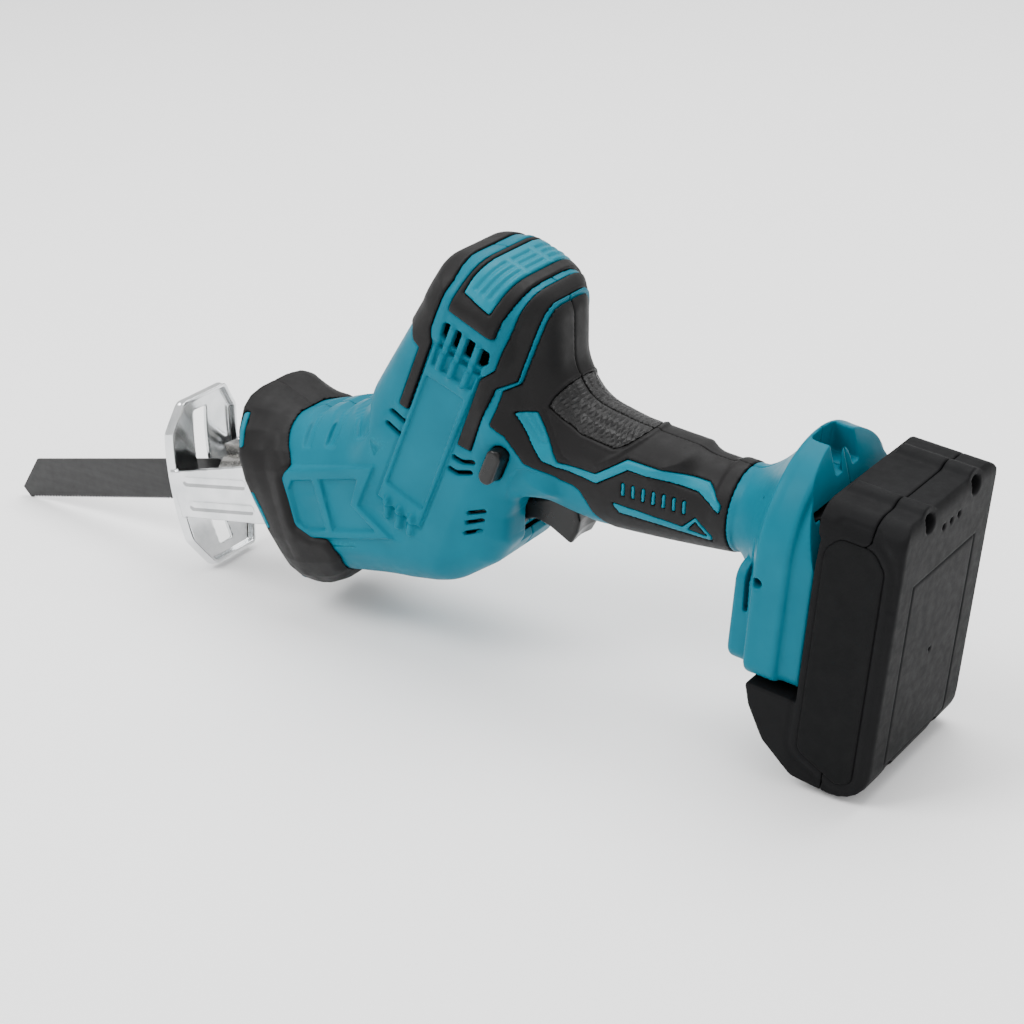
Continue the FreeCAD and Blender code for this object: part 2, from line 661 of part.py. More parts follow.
front = dim("motor_front")
rear = dim("motor_back")
can_wall = 1.1
can_length = "Dims.motor_back - Dims.motor_front"
can_solid = fuse("can_solid", [
    cylinder("can_drum", "Dims.motor_radius", can_length, (front, 0, 0), "X", MOTOR),
    cylinder("can_boss", 7.0, 3.0, (front - 3, 0, 0), "X", MOTOR),
])
can_room = fuse("can_room", [
    cylinder("can_inside", dim("motor_radius") - can_wall, rear - front, (front + 2, 0, 0), "X", MOTOR),
    cylinder("can_bearing_seat", 6.02, 6.0, (front - 3.1, 0, 0), "X", MOTOR),
])
publish(cut("motor_can", can_solid, can_room), "motor_can")
magnet_ring = ring("magnet_ring", 16.85, 13.2, 26.0, (front + 8, 0, 0), "X", MOTOR)
magnet_gap = block("magnet_gap", (front, -FAR, -4), (rear, FAR, 4), MOTOR)
publish(cut("motor_magnets", magnet_ring, magnet_gap), "motor_magnets")
cap = cut("cap_cut", cylinder("cap_disc", 17.4, 6.0, (rear, 0, 0), "X", MOTOR),
          cylinder("cap_seat", 6.02, 8.0, (rear - 1, 0, 0), "X", MOTOR))
publish(cap, "motor_end_cap")
publish(compound("motor_bearings", [
    ring("bearing_front", 6.0, "Dims.shaft_radius + 0.03", 4.4, (front - 2.8, 0, 0), "X", MOTOR),
    ring("bearing_rear", 6.0, "Dims.shaft_radius + 0.03", 4.0, (rear + 0.5, 0, 0), "X", MOTOR),
]), "motor_bearings")
brushes = []
for side in (LEFT, RIGHT):
    low = 7.4 if side == RIGHT else -15.5
    brushes.append(block("brush_%d" % side, (rear - 8, low, -3), (rear, low + 8.1, 3), MOTOR))
publish(compound("brush_holders", brushes), "brush_holders")

publish(cylinder("armature_shaft", "Dims.shaft_radius", 69.0, (27, 0, 0), "X", MOTOR), "armature_shaft")
core_slots = [cylinder("core_disc", "Dims.core_radius", 24.0, (front + 9, 0, 0), "X", MOTOR)]
core_cutters = [cylinder("core_bore", dim("shaft_radius") + 0.02, 30.0, (front + 8, 0, 0), "X", MOTOR)]
for number in range(5):
    slot = block("core_slot_%d" % number, (front + 8, -1.1, 8), (front + 35, 1.1, 14), MOTOR)
    spin = FreeCAD.Placement(Vector(), Rotation(Vector(1, 0, 0), 72.0 * number))
    slot.Placement = MOTOR.multiply(spin).multiply(MOTOR.inverse()).multiply(slot.Placement)
    core_cutters.append(slot)
publish(cut("armature_core", core_slots[0], fuse("core_cutter", core_cutters)), "armature_core")
publish(ring("commutator", 6.5, "Dims.shaft_radius + 0.02", 6.0, (rear - 8, 0, 0), "X", MOTOR), "commutator")
fan_parts = [ring("fan_disc", 14.5, "Dims.shaft_radius + 0.02", 1.2, (front + 2.6, 0, 0), "X", MOTOR)]
for number in range(8):
    vane = block("fan_vane_%d" % number, (front + 3.6, -0.6, 5), (front + 7.2, 0.6, 14), MOTOR)
    spin = FreeCAD.Placement(Vector(), Rotation(Vector(1, 0, 0), 45.0 * number))
    vane.Placement = MOTOR.multiply(spin).multiply(MOTOR.inverse()).multiply(vane.Placement)
    fan_parts.append(vane)
publish(fuse("cooling_fan", fan_parts), "cooling_fan")
pinion_cutters = [cylinder("pinion_bore_cut", dim("shaft_radius") + 0.02, 14.0, (26.5, 0, 0), "X", MOTOR)]
for number in range(8):
    groove = block("pinion_gap_%d" % number, (26.5, -0.9, 4.6), (39, 0.9, 7), MOTOR)
    spin = FreeCAD.Placement(Vector(), Rotation(Vector(1, 0, 0), 45.0 * number))
    groove.Placement = MOTOR.multiply(spin).multiply(MOTOR.inverse()).multiply(groove.Placement)
    pinion_cutters.append(groove)
publish(cut("pinion", cylinder("pinion_blank", "Dims.pinion_radius", 11.0, (27.2, 0, 0), "X", MOTOR),
            fuse("pinion_cutter", pinion_cutters)), "pinion")

# ---------------------------------------------------------------- controls

TRIGGER = [
    (39.5, -4, 1.5), (37.3, -16.4, 1), (41, -13.4, 3), (46, -12.9, 4), (52, -16.4, 6), (59.6, -23.4, 2),
    (64.4, -19, 2), (66.5, -12, 2), (66, -3, 1),
]
trigger_body = new_body("trigger")
pad(trigger_body, "trigger_block", "XZ", -8, 16.0, TRIGGER)
publish(trigger_body, "trigger")
lock_body = new_body("lock_button", MOTOR)
pad(lock_body, "lock_bolt", "XZ", -28.5, 61.0, button_outline(0))
publish(lock_body, "lock_button")
publish(block("switch_body", (-5, -8, -6), (20, 8, 7), GRIP), "switch_body")
board = [block("board", (28, -9, -1), (64, 9, 0.6), GRIP)]
for number in range(3):
    board.append(block("board_chip_%d" % number, (33 + 9 * number, -5, 0.5), (39 + 9 * number, 4, 3.6), GRIP))
publish(fuse("controller_board", board), "controller_board")
publish(block("terminal_block", (157, -12, 36), (165.8, 12, 54), BATTERY), "terminal_block")
TERMINALS = (-8, 0, 8)
publish(compound("tool_terminals", [
    block("tool_terminal_%d" % y, (165.8, y - 0.4, 38), (175, y + 0.4, 50), BATTERY) for y in TERMINALS
]), "tool_terminals")

# ---------------------------------------------------------------- battery pack

top = dim("pack_top")
seam = dim("pack_seam")
base = dim("pack_base")
pack_half = dim("pack_half")
pack_wall = dim("pack_wall")
pack_rear = dim("pack_rear")
pack_front = -dim("pack_front")
PACK_SIDE = [(top, pack_rear, 2), (base, pack_rear, 8), (base, pack_front, 14), (181, -40, 6), (168, -30, 5),
             (161, -18, 4), (158.5, -9.2, 1), (top, -9.2, 0)]
PACK_PLAN = mirrored([(pack_half, pack_front - 1, 8), (pack_half, pack_rear, 10)])
PACK_END = [(150, pack_half, 0), (base, pack_half, 6), (base, -pack_half, 6), (150, -pack_half, 0)]
pack_side = prism("pack_side", PACK_SIDE, -pack_half, 2 * pack_half, "XZ", BATTERY)
pack_plan = prism("pack_plan", PACK_PLAN, 150, 70, "YZ", BATTERY)
pack_end = prism("pack_end", PACK_END, -60, 150, "XY", BATTERY)
pack_form = common("pack_form", common("pack_form_plan", pack_side, pack_plan), pack_end)
inner_half = pack_half - pack_wall
room_end = (base - 2.4, inner_half, pack_rear - 2.4)
pack_room = block("pack_room", (181.2, -inner_half, pack_front + 3), room_end, BATTERY)
INLAY = [
    (182, -28, 4), (182, 54, 6), (187, 60, 4), (200, 60, 4), (205, 53, 4), (205, -33, 4), (199, -36, 4),
]
inlay_room = []
for side in (LEFT, RIGHT):
    inlay_room.append(prism("inlay_room_%d" % side, INLAY, side * pack_half - 1, 2, "XZ", BATTERY))
rails = fuse("rails", [
    block("rail_core", (167, -23.6, -9.2), (top, 23.6, 57), BATTERY),
    block("rail_flanges", (168.5, -26.9, -9.2), (172.7, 26.9, 57), BATTERY),
])
terminal_slots = []
for y in TERMINALS:
    terminal_slots.append(block("terminal_slot_%d" % y, (165, y - 1.2, 36), (176.5, y + 1.2, 60), BATTERY))
latch_room = block("latch_room", (150, -11.4, -31), (175, 11.4, -13.6), BATTERY)
PACK_SCREWS = [(y, t) for y in (-18, 18) for t in (66.2, -34.5)]
HEAD_SEAT = 201.5
screw_pockets = []
for number, (y, t) in enumerate(PACK_SCREWS):
    screw_pockets.append(cylinder("pack_pocket_%d" % number, 3.5, 14.0, (HEAD_SEAT, y, t), "X", BATTERY))
cover_box = block("cover_box", (140, -60, -80), (seam, 60, 120), BATTERY)
pack_cutters = fuse("pack_cutters", [pack_room, latch_room] + inlay_room + screw_pockets + terminal_slots)
pack_whole = cut("pack_whole", fuse("pack_solid", [pack_form, rails]), pack_cutters)
publish(common("pack_cover", pack_whole, cover_box), "pack_cover")
publish(cut("pack_base", pack_whole, cover_box), "pack_base")
for side_name, side in SIDES.items():
    start = 36.55 if side == RIGHT else -37.3
    shrunk = prism("pack_inlay_" + side_name, INLAY, start, 0.75, "XZ", BATTERY, inset=-0.3)
    publish(shrunk, "pack_inlay_" + side_name)

CELL_COUNT = 5
CELL_DEPTH = 196.0
FIRST_CELL = -22.0
HOLDER_THICK = 2.6
cells = []
for number in range(CELL_COUNT):
    start = (CELL_DEPTH, -dim("cell_length") / 2, FIRST_CELL + number * dim("cell_pitch"))
    cells.append(cylinder("cell_%d" % number, "Dims.cell_radius", "Dims.cell_length", start, "Y", BATTERY))
publish(compound("battery_cells", cells), "battery_cells")
holders = []
for side in (LEFT, RIGHT):
    start = 32.6 if side == RIGHT else -32.6 - HOLDER_THICK
    corner = (206.5, start + HOLDER_THICK, 63.6)
    holders.append(block("cell_holder_%d" % side, (186, start, -33), corner, BATTERY))
publish(compound("cell_holders", holders), "cell_holders")
publish(block("pack_board", (182.2, -24, -22), (183.8, 24, 60), BATTERY), "pack_board")
publish(compound("pack_contacts", [
    block("pack_contact_%d" % y, (181.2, y - 1, 38), (182.2, y + 1, 50), BATTERY) for y in TERMINALS
]), "pack_contacts")
pack_screw_list = []
for number, (y, t) in enumerate(PACK_SCREWS):
    shank = cylinder("pack_screw_shank_%d" % number, 1.4, 14.0, (187.5, y, t), "X", BATTERY)
    head = cylinder("pack_screw_head_%d" % number, 2.8, 2.2, (HEAD_SEAT, y, t), "X", BATTERY)
    pack_screw_list.append(fuse("pack_screw_%d" % number, [shank, head]))
publish(compound("pack_screws", pack_screw_list), "pack_screws")
latch_body = new_body("latch_button", BATTERY)
pad(latch_body, "latch_block", "XZ", -11, 22.0,
    [(159.5, -14, 1), (170.5, -14, 1), (170.5, -30.6, 1), (168.5, -30.6, 1)])
publish(latch_body, "latch_button")

# ---------------------------------------------------------------- checks and files

doc.recompute()
for feature in doc.Objects:
    for state in feature.State:
        if state in ("Invalid", "Error"):
            raise RuntimeError("%s did not compute: %s" % (feature.Label, feature.State))
for feature in sub_parts:
    if feature.Shape.isNull() or not feature.Shape.isValid():
        raise RuntimeError("%s has no valid shape" % feature.Label)
os.makedirs("parts", exist_ok=True)
whole = FreeCAD.BoundBox()
for feature in sub_parts:
    feature.Shape.exportStep("parts/%s.step" % feature.Label)
    whole.add(feature.Shape.BoundBox)
    print("%-22s solids %d volume %.0f" % (feature.Label, len(feature.Shape.Solids), feature.Shape.Volume))
print("whole", whole)
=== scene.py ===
import json
import math

import bpy
import numpy as np
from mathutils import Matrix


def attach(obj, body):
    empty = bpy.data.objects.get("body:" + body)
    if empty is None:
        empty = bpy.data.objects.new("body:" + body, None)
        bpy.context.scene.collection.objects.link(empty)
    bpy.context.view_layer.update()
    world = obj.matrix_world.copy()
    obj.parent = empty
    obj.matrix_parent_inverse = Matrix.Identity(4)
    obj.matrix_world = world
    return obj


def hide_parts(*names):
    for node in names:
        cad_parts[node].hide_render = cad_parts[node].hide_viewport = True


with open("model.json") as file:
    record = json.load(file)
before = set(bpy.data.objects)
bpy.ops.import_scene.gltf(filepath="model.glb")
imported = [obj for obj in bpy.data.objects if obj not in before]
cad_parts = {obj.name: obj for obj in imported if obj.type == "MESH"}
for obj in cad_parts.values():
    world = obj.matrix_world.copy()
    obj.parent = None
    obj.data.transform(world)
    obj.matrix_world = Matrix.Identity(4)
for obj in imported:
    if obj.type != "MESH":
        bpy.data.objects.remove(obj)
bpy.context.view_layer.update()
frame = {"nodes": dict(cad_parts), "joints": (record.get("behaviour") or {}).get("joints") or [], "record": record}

import openvdb
from mathutils import Matrix, Vector

# ------------------------------------------------------------------ the saw's own frames
# Millimetres are used for shapes and metres for Blender. Four frames share one origin, the crank's centre:
# tool (x along the blade, z up across it), motor (s along the shaft, p across it towards the handle),
# grip (gx down the handle, gz across it) and battery (n out of the pack's base, t up the pack).

MM = 0.001
JOINTS = {joint["name"]: joint for joint in frame["joints"]}


def slope(joint):
    """The angle of a joint's axis above the row's x axis."""
    x, _, z = JOINTS[joint]["axis"]
    return math.atan2(z, x)


REST_PITCH = slope("plunger_stroke")
REST_SHIFT = np.array(JOINTS["crank_turn"]["pos_m"]) / MM
MOTOR_TILT = slope("armature_spin") - REST_PITCH
BATTERY_TILT = REST_PITCH - slope("latch_press")
GRIP_TILT = math.radians(17.5)
GRIP_ROOT = (66.0, 12.5)


def turned(u, v, angle):
    c, s = math.cos(angle), math.sin(angle)
    return u * c + v * s, v * c - u * s


def to_rest(points):
    """Tool-frame millimetres to the row's metres."""
    c, s = math.cos(REST_PITCH), math.sin(REST_PITCH)
    x, y, z = points[:, 0], points[:, 1], points[:, 2]
    return (np.stack([x * c - z * s, y, x * s + z * c], axis=1) + REST_SHIFT) * MM


def from_battery(points):
    """Battery-frame (n, y, t) to the tool frame."""
    c, s = math.cos(BATTERY_TILT), math.sin(BATTERY_TILT)
    n, y, t = points[:, 0], points[:, 1], points[:, 2]
    return np.stack([n * c + t * s, y, t * c - n * s], axis=1)


def to_tool(joint):
    """A joint's place as tool-frame (x, z)."""
    x, _, z = np.array(JOINTS[joint]["pos_m"]) / MM - REST_SHIFT
    return turned(x, z, REST_PITCH)


def same(points):
    return points


class Spot:
    """Every frame's coordinates of a set of tool-frame points."""

    def __init__(self, x, y, z):
        self.x, self.y, self.z = x, y, z
        self.ay = np.abs(y)
        self.s, across = turned(x, z, MOTOR_TILT)
        self.p = -across
        self.gx, self.gz = turned(x - GRIP_ROOT[0], z - GRIP_ROOT[1], -GRIP_TILT)
        self.n, self.t = turned(x, z, -BATTERY_TILT)


# ------------------------------------------------------------------ outlines and distance fields


def rounded(corners, steps=6):
    """Outline with arcs in place of corners; each corner is (u, v, radius)."""
    result = []
    count = len(corners)
    for i, (u, v, radius) in enumerate(corners):
        here = Vector((u, v))
        before = (Vector(corners[i - 1][:2]) - here).normalized()
        after = (Vector(corners[(i + 1) % count][:2]) - here).normalized()
        half = before.angle(after) / 2
        if radius <= 0 or half > 1.55:
            result.append((u, v))
            continue
        centre = here + (before + after).normalized() * (radius / math.sin(half))
        start = here + before * (radius / math.tan(half)) - centre
        sweep = start.angle_signed(here + after * (radius / math.tan(half)) - centre)
        for k in range(steps + 1):
            arm = start.copy()
            arm.rotate(Matrix.Rotation(-sweep * k / steps, 2))
            result.append(tuple(centre + arm))
    return result


def mirrored(corners):
    """A right-hand half outline closed with its mirror image."""
    return corners + [(-u, *rest) for u, *rest in reversed(corners)]


def poly(u, v, corners):
    """Signed distance to a polygon, negative inside."""
    best = np.full(u.shape, 1e9, np.float32)
    inside = np.zeros(u.shape, bool)
    count = len(corners)
    for i in range(count):
        (ax, ay), (bx, by) = corners[i], corners[(i + 1) % count]
        ex, ey = bx - ax, by - ay
        wx, wy = u - ax, v - ay
        along = np.clip((wx * ex + wy * ey) / (ex * ex + ey * ey + 1e-9), 0, 1)
        best = np.minimum(best, (wx - ex * along) ** 2 + (wy - ey * along) ** 2)
        if abs(ey) > 1e-9:
            crosses = (ay > v) != (by > v)
            inside ^= crosses & (wx < ex * (wy / ey))
    return np.where(inside, -1, 1) * np.sqrt(best)


def path(u, v, corners, radius):
    """Signed distance to a thick open line."""
    best = np.full(u.shape, 1e9, np.float32)
    for (ax, ay), (bx, by) in zip(corners, corners[1:]):
        ex, ey = bx - ax, by - ay
        wx, wy = u - ax, v - ay
        along = np.clip((wx * ex + wy * ey) / (ex * ex + ey * ey), 0, 1)
        best = np.minimum(best, (wx - ex * along) ** 2 + (wy - ey * along) ** 2)
    return np.sqrt(best) - radius


def smin(a, b, k):
    """Union with its crease filled over a width k."""
    h = np.clip(0.5 + 0.5 * (b - a) / k, 0, 1)
    return b + (a - b) * h - k * h * (1 - h)


def smax(a, b, k):
    return -smin(-a, -b, k)


def both(a, b, radius):
    """Intersection with its edge rounded to a radius."""
    pa, pb = np.maximum(a + radius, 0), np.maximum(b + radius, 0)
    return np.minimum(np.maximum(a, b), -radius) + np.sqrt(pa * pa + pb * pb)


def slab(v, low, high):
    return np.maximum(low - v, v - high)


def ramp(v, low, high):
    h = np.clip((v - low) / (high - low), 0, 1)
    return h * h * (3 - 2 * h)


def raised(distance, height, edge=0.5):
    """A smooth ledge: height well inside the outline, nothing outside."""
    return height * ramp(-distance, -edge, edge)


def ellipse(u, v, a, b):
    """Near-exact signed distance to an ellipse with half axes a and b."""
    k = np.sqrt((u / a) ** 2 + (v / b) ** 2) + 1e-6
    g = np.sqrt((u / a ** 2) ** 2 + (v / b ** 2) ** 2) + 1e-6
    return k * (k - 1) / g


def through(v, stations, values):
    """The parabola through three stations, held flat past the ends."""
    v = np.clip(v, stations[0] - 8, stations[2] + 3)
    total = 0
    for i in range(3):
        j, k = [m for m in range(3) if m != i]
        total = total + values[i] * ((v - stations[j]) * (v - stations[k])) / (
            (stations[i] - stations[j]) * (stations[i] - stations[k]))
    return total


# ------------------------------------------------------------------ meshes from fields

GRID = 0.6
FINE_GRID = GRID * 0.75
BLOCK = 8
FAR = 9.0
HALF_GAP = 0.06


def sample(field, low, high, size, reach):
    """Field values on a lattice over y <= 0, worked out only in blocks that a surface may cross."""
    counts = [int(math.ceil((h - l) / size)) + 1 for l, h in zip(low, high)]
    axes = [low[i] + size * np.arange(counts[i]) for i in range(3)]
    axes[1] = axes[1] - axes[1][-1] + high[1]
    centres = [a[::BLOCK] + size * (BLOCK - 1) / 2 for a in axes]
    grid = np.meshgrid(*centres, indexing="ij")
    coarse = field(*[g.ravel().astype(np.float32) for g in grid])
    limit = size * BLOCK * 0.87 + reach
    shape = grid[0].shape
    active = np.zeros(grid[0].size, bool)
    result = {}
    for name, values in coarse.items():
        active |= np.abs(values) < limit
        signs = np.where(values.reshape(shape) < 0, -FAR, FAR).astype(np.float32)
        wide = signs.repeat(BLOCK, 0).repeat(BLOCK, 1).repeat(BLOCK, 2)
        result[name] = wide[:counts[0], :counts[1], :counts[2]].copy()
    chosen = np.argwhere(active.reshape(shape))
    offsets = np.stack(np.meshgrid(*[np.arange(BLOCK)] * 3, indexing="ij"), -1).reshape(-1, 3)
    for start in range(0, len(chosen), 1500):
        index = (chosen[start:start + 1500, None, :] * BLOCK + offsets[None]).reshape(-1, 3)
        index = index[(index < counts).all(axis=1)]
        values = field(*[axes[i][index[:, i]].astype(np.float32) for i in range(3)])
        for name in values:
            result[name][index[:, 0], index[:, 1], index[:, 2]] = values[name]
    return result, axes


def surface(name, values, corner, size, place, keep):
    """A closed mesh of the zero level, moved to the row frame and shaded smooth."""
    grid = openvdb.FloatGrid(FAR)
    grid.copyFromArray(np.clip(np.ascontiguousarray(values), -FAR, FAR))
    points, quads = grid.convertToQuads(0.0)
    points = to_rest(place(np.asarray(points, np.float64) * size + np.array(corner)))
    quads = np.asarray(quads)[:, ::-1]
    mesh = bpy.data.meshes.new(name)
    mesh.from_pydata([], [], [])
    mesh.vertices.add(len(points))
    mesh.vertices.foreach_set("co", points.astype(np.float32).ravel())
    mesh.loops.add(quads.size)
    mesh.loops.foreach_set("vertex_index", quads.astype(np.int32).ravel())
    mesh.polygons.add(len(quads))
    mesh.polygons.foreach_set("loop_start", np.arange(0, quads.size, 4, dtype=np.int32))
    mesh.update(calc_edges=True)
    obj = bpy.data.objects.new(name, mesh)
    bpy.context.scene.collection.objects.link(obj)
    if keep < 1:
        modifier = obj.modifiers.new("thin", "DECIMATE")
        modifier.ratio = keep
        bake(obj)
    obj.data.polygons.foreach_set("use_smooth", np.ones(len(obj.data.polygons), bool))
    return obj


def bake(obj):
    """Applies the modifiers to the mesh."""
    depsgraph = bpy.context.evaluated_depsgraph_get()
    finished = bpy.data.meshes.new_from_object(obj.evaluated_get(depsgraph))
    obj.modifiers.clear()
    obj.data = finished


def build(field, low, high, place, pieces, size=GRID, reach=1.0):
    """Samples a field and makes its pieces, each (field name, "left", "right" or "whole", share of faces)."""
    values, axes = sample(field, low, high, size, reach)
    corner = [axes[i][0] - 2 * size for i in range(3)]
    pad = [(2, 2), (2, 2), (2, 2)]
    made = {}
    for name, (source, side, keep) in pieces.items():
        half = values[source]
        if side == "whole":
            part = np.pad(np.concatenate([half, half[:, -2::-1]], axis=1), pad, constant_values=FAR)
            made[name] = surface(name, part, corner, size, place, keep)
            continue
        beyond = half[:, -4:-1][:, ::-1]
        part = np.concatenate([half, beyond], axis=1)
        y = np.concatenate([axes[1], axes[1][-1] + size * np.arange(1, 4)])[None, :, None]
        part = np.pad(np.maximum(part, y + HALF_GAP).astype(np.float32), pad, constant_values=FAR)
        made[name] = surface(name, part, corner, size, place, keep)
        if side == "right":
            made[name].data.transform(Matrix.Scale(-1, 4, (0, 1, 0)))
            made[name].data.flip_normals()
    return made


# ------------------------------------------------------------------ outlines of the tool's shells

BODY = rounded([(-78, -32, 3), (-78, 31.5, 3), (-30, 35.8, 10), (-13, 41.5, 12), (7.5, 61, 30),
                (30, 82, 14), (40.5, 96.5, 8), (53.5, 94.5, 8), (66, 86, 7), (76.5, 75, 8), (71.5, 49, 14),
                (70, 30, 0), (68, 1, 2), (49, 0, 3), (44, -8, 3), (42, -17, 7), (31, -27, 14),
                (10, -35, 22), (-12, -35.5, 0), (-40, -34, 0)])
GRIP_STATIONS = (2.0, 36.0, 75.5)
GRIP_HALF_HEIGHT = (24.0, 20.4, 16.6)
GRIP_HALF_WIDTH = (19.0, 16.8, 16.1)
GRIP_LIFT = (-0.8, -1.4, 0.5)
WEB = rounded([(60, 80, 0), (74, 77.5, 4), (79.5, 69, 6), (73.5, 48, 14), (76.5, 31, 16), (95, 20, 20),
               (121, 12, 0), (110, 4, 0), (60, 4, 0)])
NOTCH = rounded([(36, -40, 0), (40.7, -15.9, 2), (43.4, -6.9, 5), (48.3, -0.8, 5), (54, 1.4, 5),
                 (61.3, -2.1, 8), (73.5, -10.7, 3), (76, -16, 2), (74, -40, 0)])

# teal inserts at the boot's rim: both ends and half the width
PILLS = [((-79.0, 37), (-80.4, 26.5), 1.3), ((-79.8, 5), (-77.2, -9), 1.3),
         ((-75.4, -36.5), (-72.4, -42), 1.2)]

# side outlines in the motor frame, as (s, p)
FRONT_BAND = [(41.2, -17.3), (68.9, -17.5), (69.6, -21.5), (72.8, -24.4), (72.8, -60), (130, -60),
              (130, -19.5), (105.3, -18.6), (99.4, -16), (79.5, -15.8), (73.9, -13.4), (41.5, -13)]
REAR_BAND = [(42.5, 11.7), (73.6, 10.9), (79.1, 14.1), (88.1, 13.3), (100.2, 12.0), (107.8, 11.4),
             (130, 11.3), (130, 17.4), (106.7, 17.6), (92.5, 19.5), (77, 21.7), (71.9, 16.6), (43.6, 17.8)]
TOP_FRAME = [(90.7, -11.2), (97.6, -11.5), (106, -12.4), (130, -13.2), (130, 7.7), (97, 8.8), (90.8, 9.5)]
TOP_COVER = [(99.4, -9.2), (104, -10.2), (130, -11), (130, 3.6), (106.3, 3.4), (98.2, 4.2)]
WINDOW = [(84.8, -11.5), (85.2, 10.7), (80.8, 11.4), (77.7, 8.8), (77.6, -8.4), (79.6, -11)]
WINDOW_POCKET = [(85.6, -10.6), (85.6, 10.2), (67.3, 9.2), (66.4, -9.8)]
RIBS = [-6.9, -1.2, 5.4]
PANEL = [(-2, -12), (74, -12), (74, 10.2), (-2, 9.6)]
PANEL_INSIDE = [(6.5, -10.2), (60.8, -10.2), (62, 7.6), (6.5, 8.4)]
BEAD = [(71.9, 16.6), (77, 21.7), (92.5, 19.5), (106.7, 17.6), (130, 17.2), (130, 18.8), (106.2, 18.8),
        (89.9, 21.1), (76.4, 22.9), (72.3, 19.2)]
BEAD_STATIONS = [66, 72.3, 76.4, 89.9, 104.6, 106.2, 130]
BEAD_BACK = [0, 19.1, 22.8, 21.1, 19.1, 18.7, 18.6]
FRONT_SLITS = [[(35.9, -19.2), (35.2, -12.9)], [(29.7, -19.2), (28.9, -12.9)]]
REAR_SLITS = [[(36.1, 12.2), (36.4, 15.9), (39.4, 20.4)], [(30.4, 12.2), (30.6, 15.6), (34.7, 21)]]

# side outlines in the tool frame, as (x, z)
RUBBER = [(59.2, 45.7), (52.6, 33.9), (53, 33), (56.8, 28.6), (61.2, 17.2), (64.7, 14.5), (68.1, 11.5),
          (71, 8.1), (75.6, 5.6), (77.7, 3.6), (79, -1), (79.5, -7), (83, -15), (92, -40), (150, -40),
          (160, 30), (110, 110), (60, 115), (54, 113)]
FLAG = [(60.2, 36.7), (67.5, 34.9), (70.4, 25), (72.3, 15.2), (86.7, 10.1), (100.8, 14.8), (132, 4.6),
        (137.4, -3), (136.1, -5.8), (128.3, 1.7), (101, 11.2), (86.2, 6.2), (71.1, 13.6), (67.4, 17.1),
        (63.4, 28.3)]
FLAG_GROOVES = [[(62.6, 36.5), (64.9, 30.2), (67.6, 24.2), (70.6, 22.9)],
                [(65.0, 36), (67.3, 29.6), (68.9, 26.2)]]
LOWER_INLAY = [(90.6, -1.3), (118.7, -11.1), (125.8, -7.2), (130.4, -14.8), (129.4, -17.1), (92.4, -5.9)]
LOWER_INLAY_HOLE = [(121.2, -12.2), (125.3, -9.3), (128, -14.6)]
BELLY_SLITS = [[(31.2, -2.1), (37.2, -2.1)], [(28.9, -6.2), (35.1, -5.8)], [(26.6, -10.7), (33.2, -10.2)]]
LOW_RIBS = [[(-5.6, 4.4), (-8.6, -2.6)], [(-0.8, 0), (-4.2, -7)], [(4.4, -3.4), (0.9, -9.8)]]
NOSE_PANEL = [(-61, 2), (-60.4, 12.4), (-57.8, 15.9), (-54.7, 17.2), (-9.1, 17.7), (-22.4, 1.3),
              (-9.1, -12.9), (-52.6, -13.4), (-60.5, -8.9)]
NOSE_INSIDES = [
    [(-54.8, 11.7), (-43.8, 11.7), (-43.4, -9.6), (-53.2, -9.8), (-57.8, -6.4), (-57.8, 8.3)],
    [(-39.7, 12.2), (-19.6, 12.3), (-26.5, 1.4), (-16.9, -9.7), (-39.2, -9.8)],
]
NOSE_FOLDS = [
    [(-57, 42), (-55.2, 33.5), (-51.6, 30.7), (-49.7, 23.5), (-45.8, 23.5), (-46.4, 29.5), (-48, 34), (-49, 42)],
    [(-43, 42), (-41.4, 34.8), (-37.1, 31.1), (-37.3, 24), (-31.8, 23.8), (-31.6, 30.3), (-34, 35.3), (-35, 42)],
    [(-34, 44), (-29, 36), (-22, 33.6), (-18.5, 28.1), (-13, 28.4), (-8, 32), (-5, 48)],
]
GUARD = rounded([(40, -16, 0), (46.4, 1.1, 3), (53.3, 11.9, 3), (57, 14.4, 2), (61.3, 14.8, 2),
                 (65.8, 11.5, 0), (69.2, 8.1, 0), (74, 5, 0), (76.5, 2.3, 0), (77.2, -1.8, 0), (76, -9, 0),
                 (76, -22, 0), (60, -34, 0), (38, -22, 0)])
TEXTURE = rounded([(70.4, 35.8, 1), (74.8, 30.3, 6), (81.9, 24, 8), (94.8, 17.9, 3), (99.7, 18.4, 0),
                   (106, 21.2, 1), (113, 28, 0), (120, 60, 0), (84, 60, 0), (77, 43.5, 0), (72.5, 39.3, 0)])
CREASE = [(69.7, 35.8), (74.8, 17.7), (77, 15.8)]
PATCH_EDGE = [(88, 13.2), (100.4, 18.2), (106.5, 20.9), (114, 27)]
BOOT_SIDE = rounded([(-82.4, 46.6, 1), (-84, 20, 20), (-82.5, 0, 30), (-77.6, -42, 6), (-71, -46.4, 6),
                     (-60, -43, 8), (-44.5, -30, 5), (-40, -21, 4), (-43.5, -13.6, 4), (-51, -12.6, 3),
                     (-58.6, -7.5, 3), (-58.8, 12.8, 2),
                     (-54, 17.4, 3), (-58.5, 25, 6), (-61.5, 31.5, 6), (-66, 37.5, 4), (-74, 43.5, 4)])
BOOT_FRONT = [(8, 46), (16, 44.4), (21.5, 41), (27.3, 32.3), (30.5, 22.5), (31.4, 11), (29.8, 0.4),
              (28, -11.5), (25.2, -20.7), (22.9, -28), (18.9, -34.6), (12, -41), (5, -45)]
BOOT_REAR = [(6, 37), (15, 34.5), (23, 30), (29, 24), (32.5, 16), (33.3, 4), (33.3, -14), (31.5, -24),
             (27, -32), (20, -38), (10, -41)]

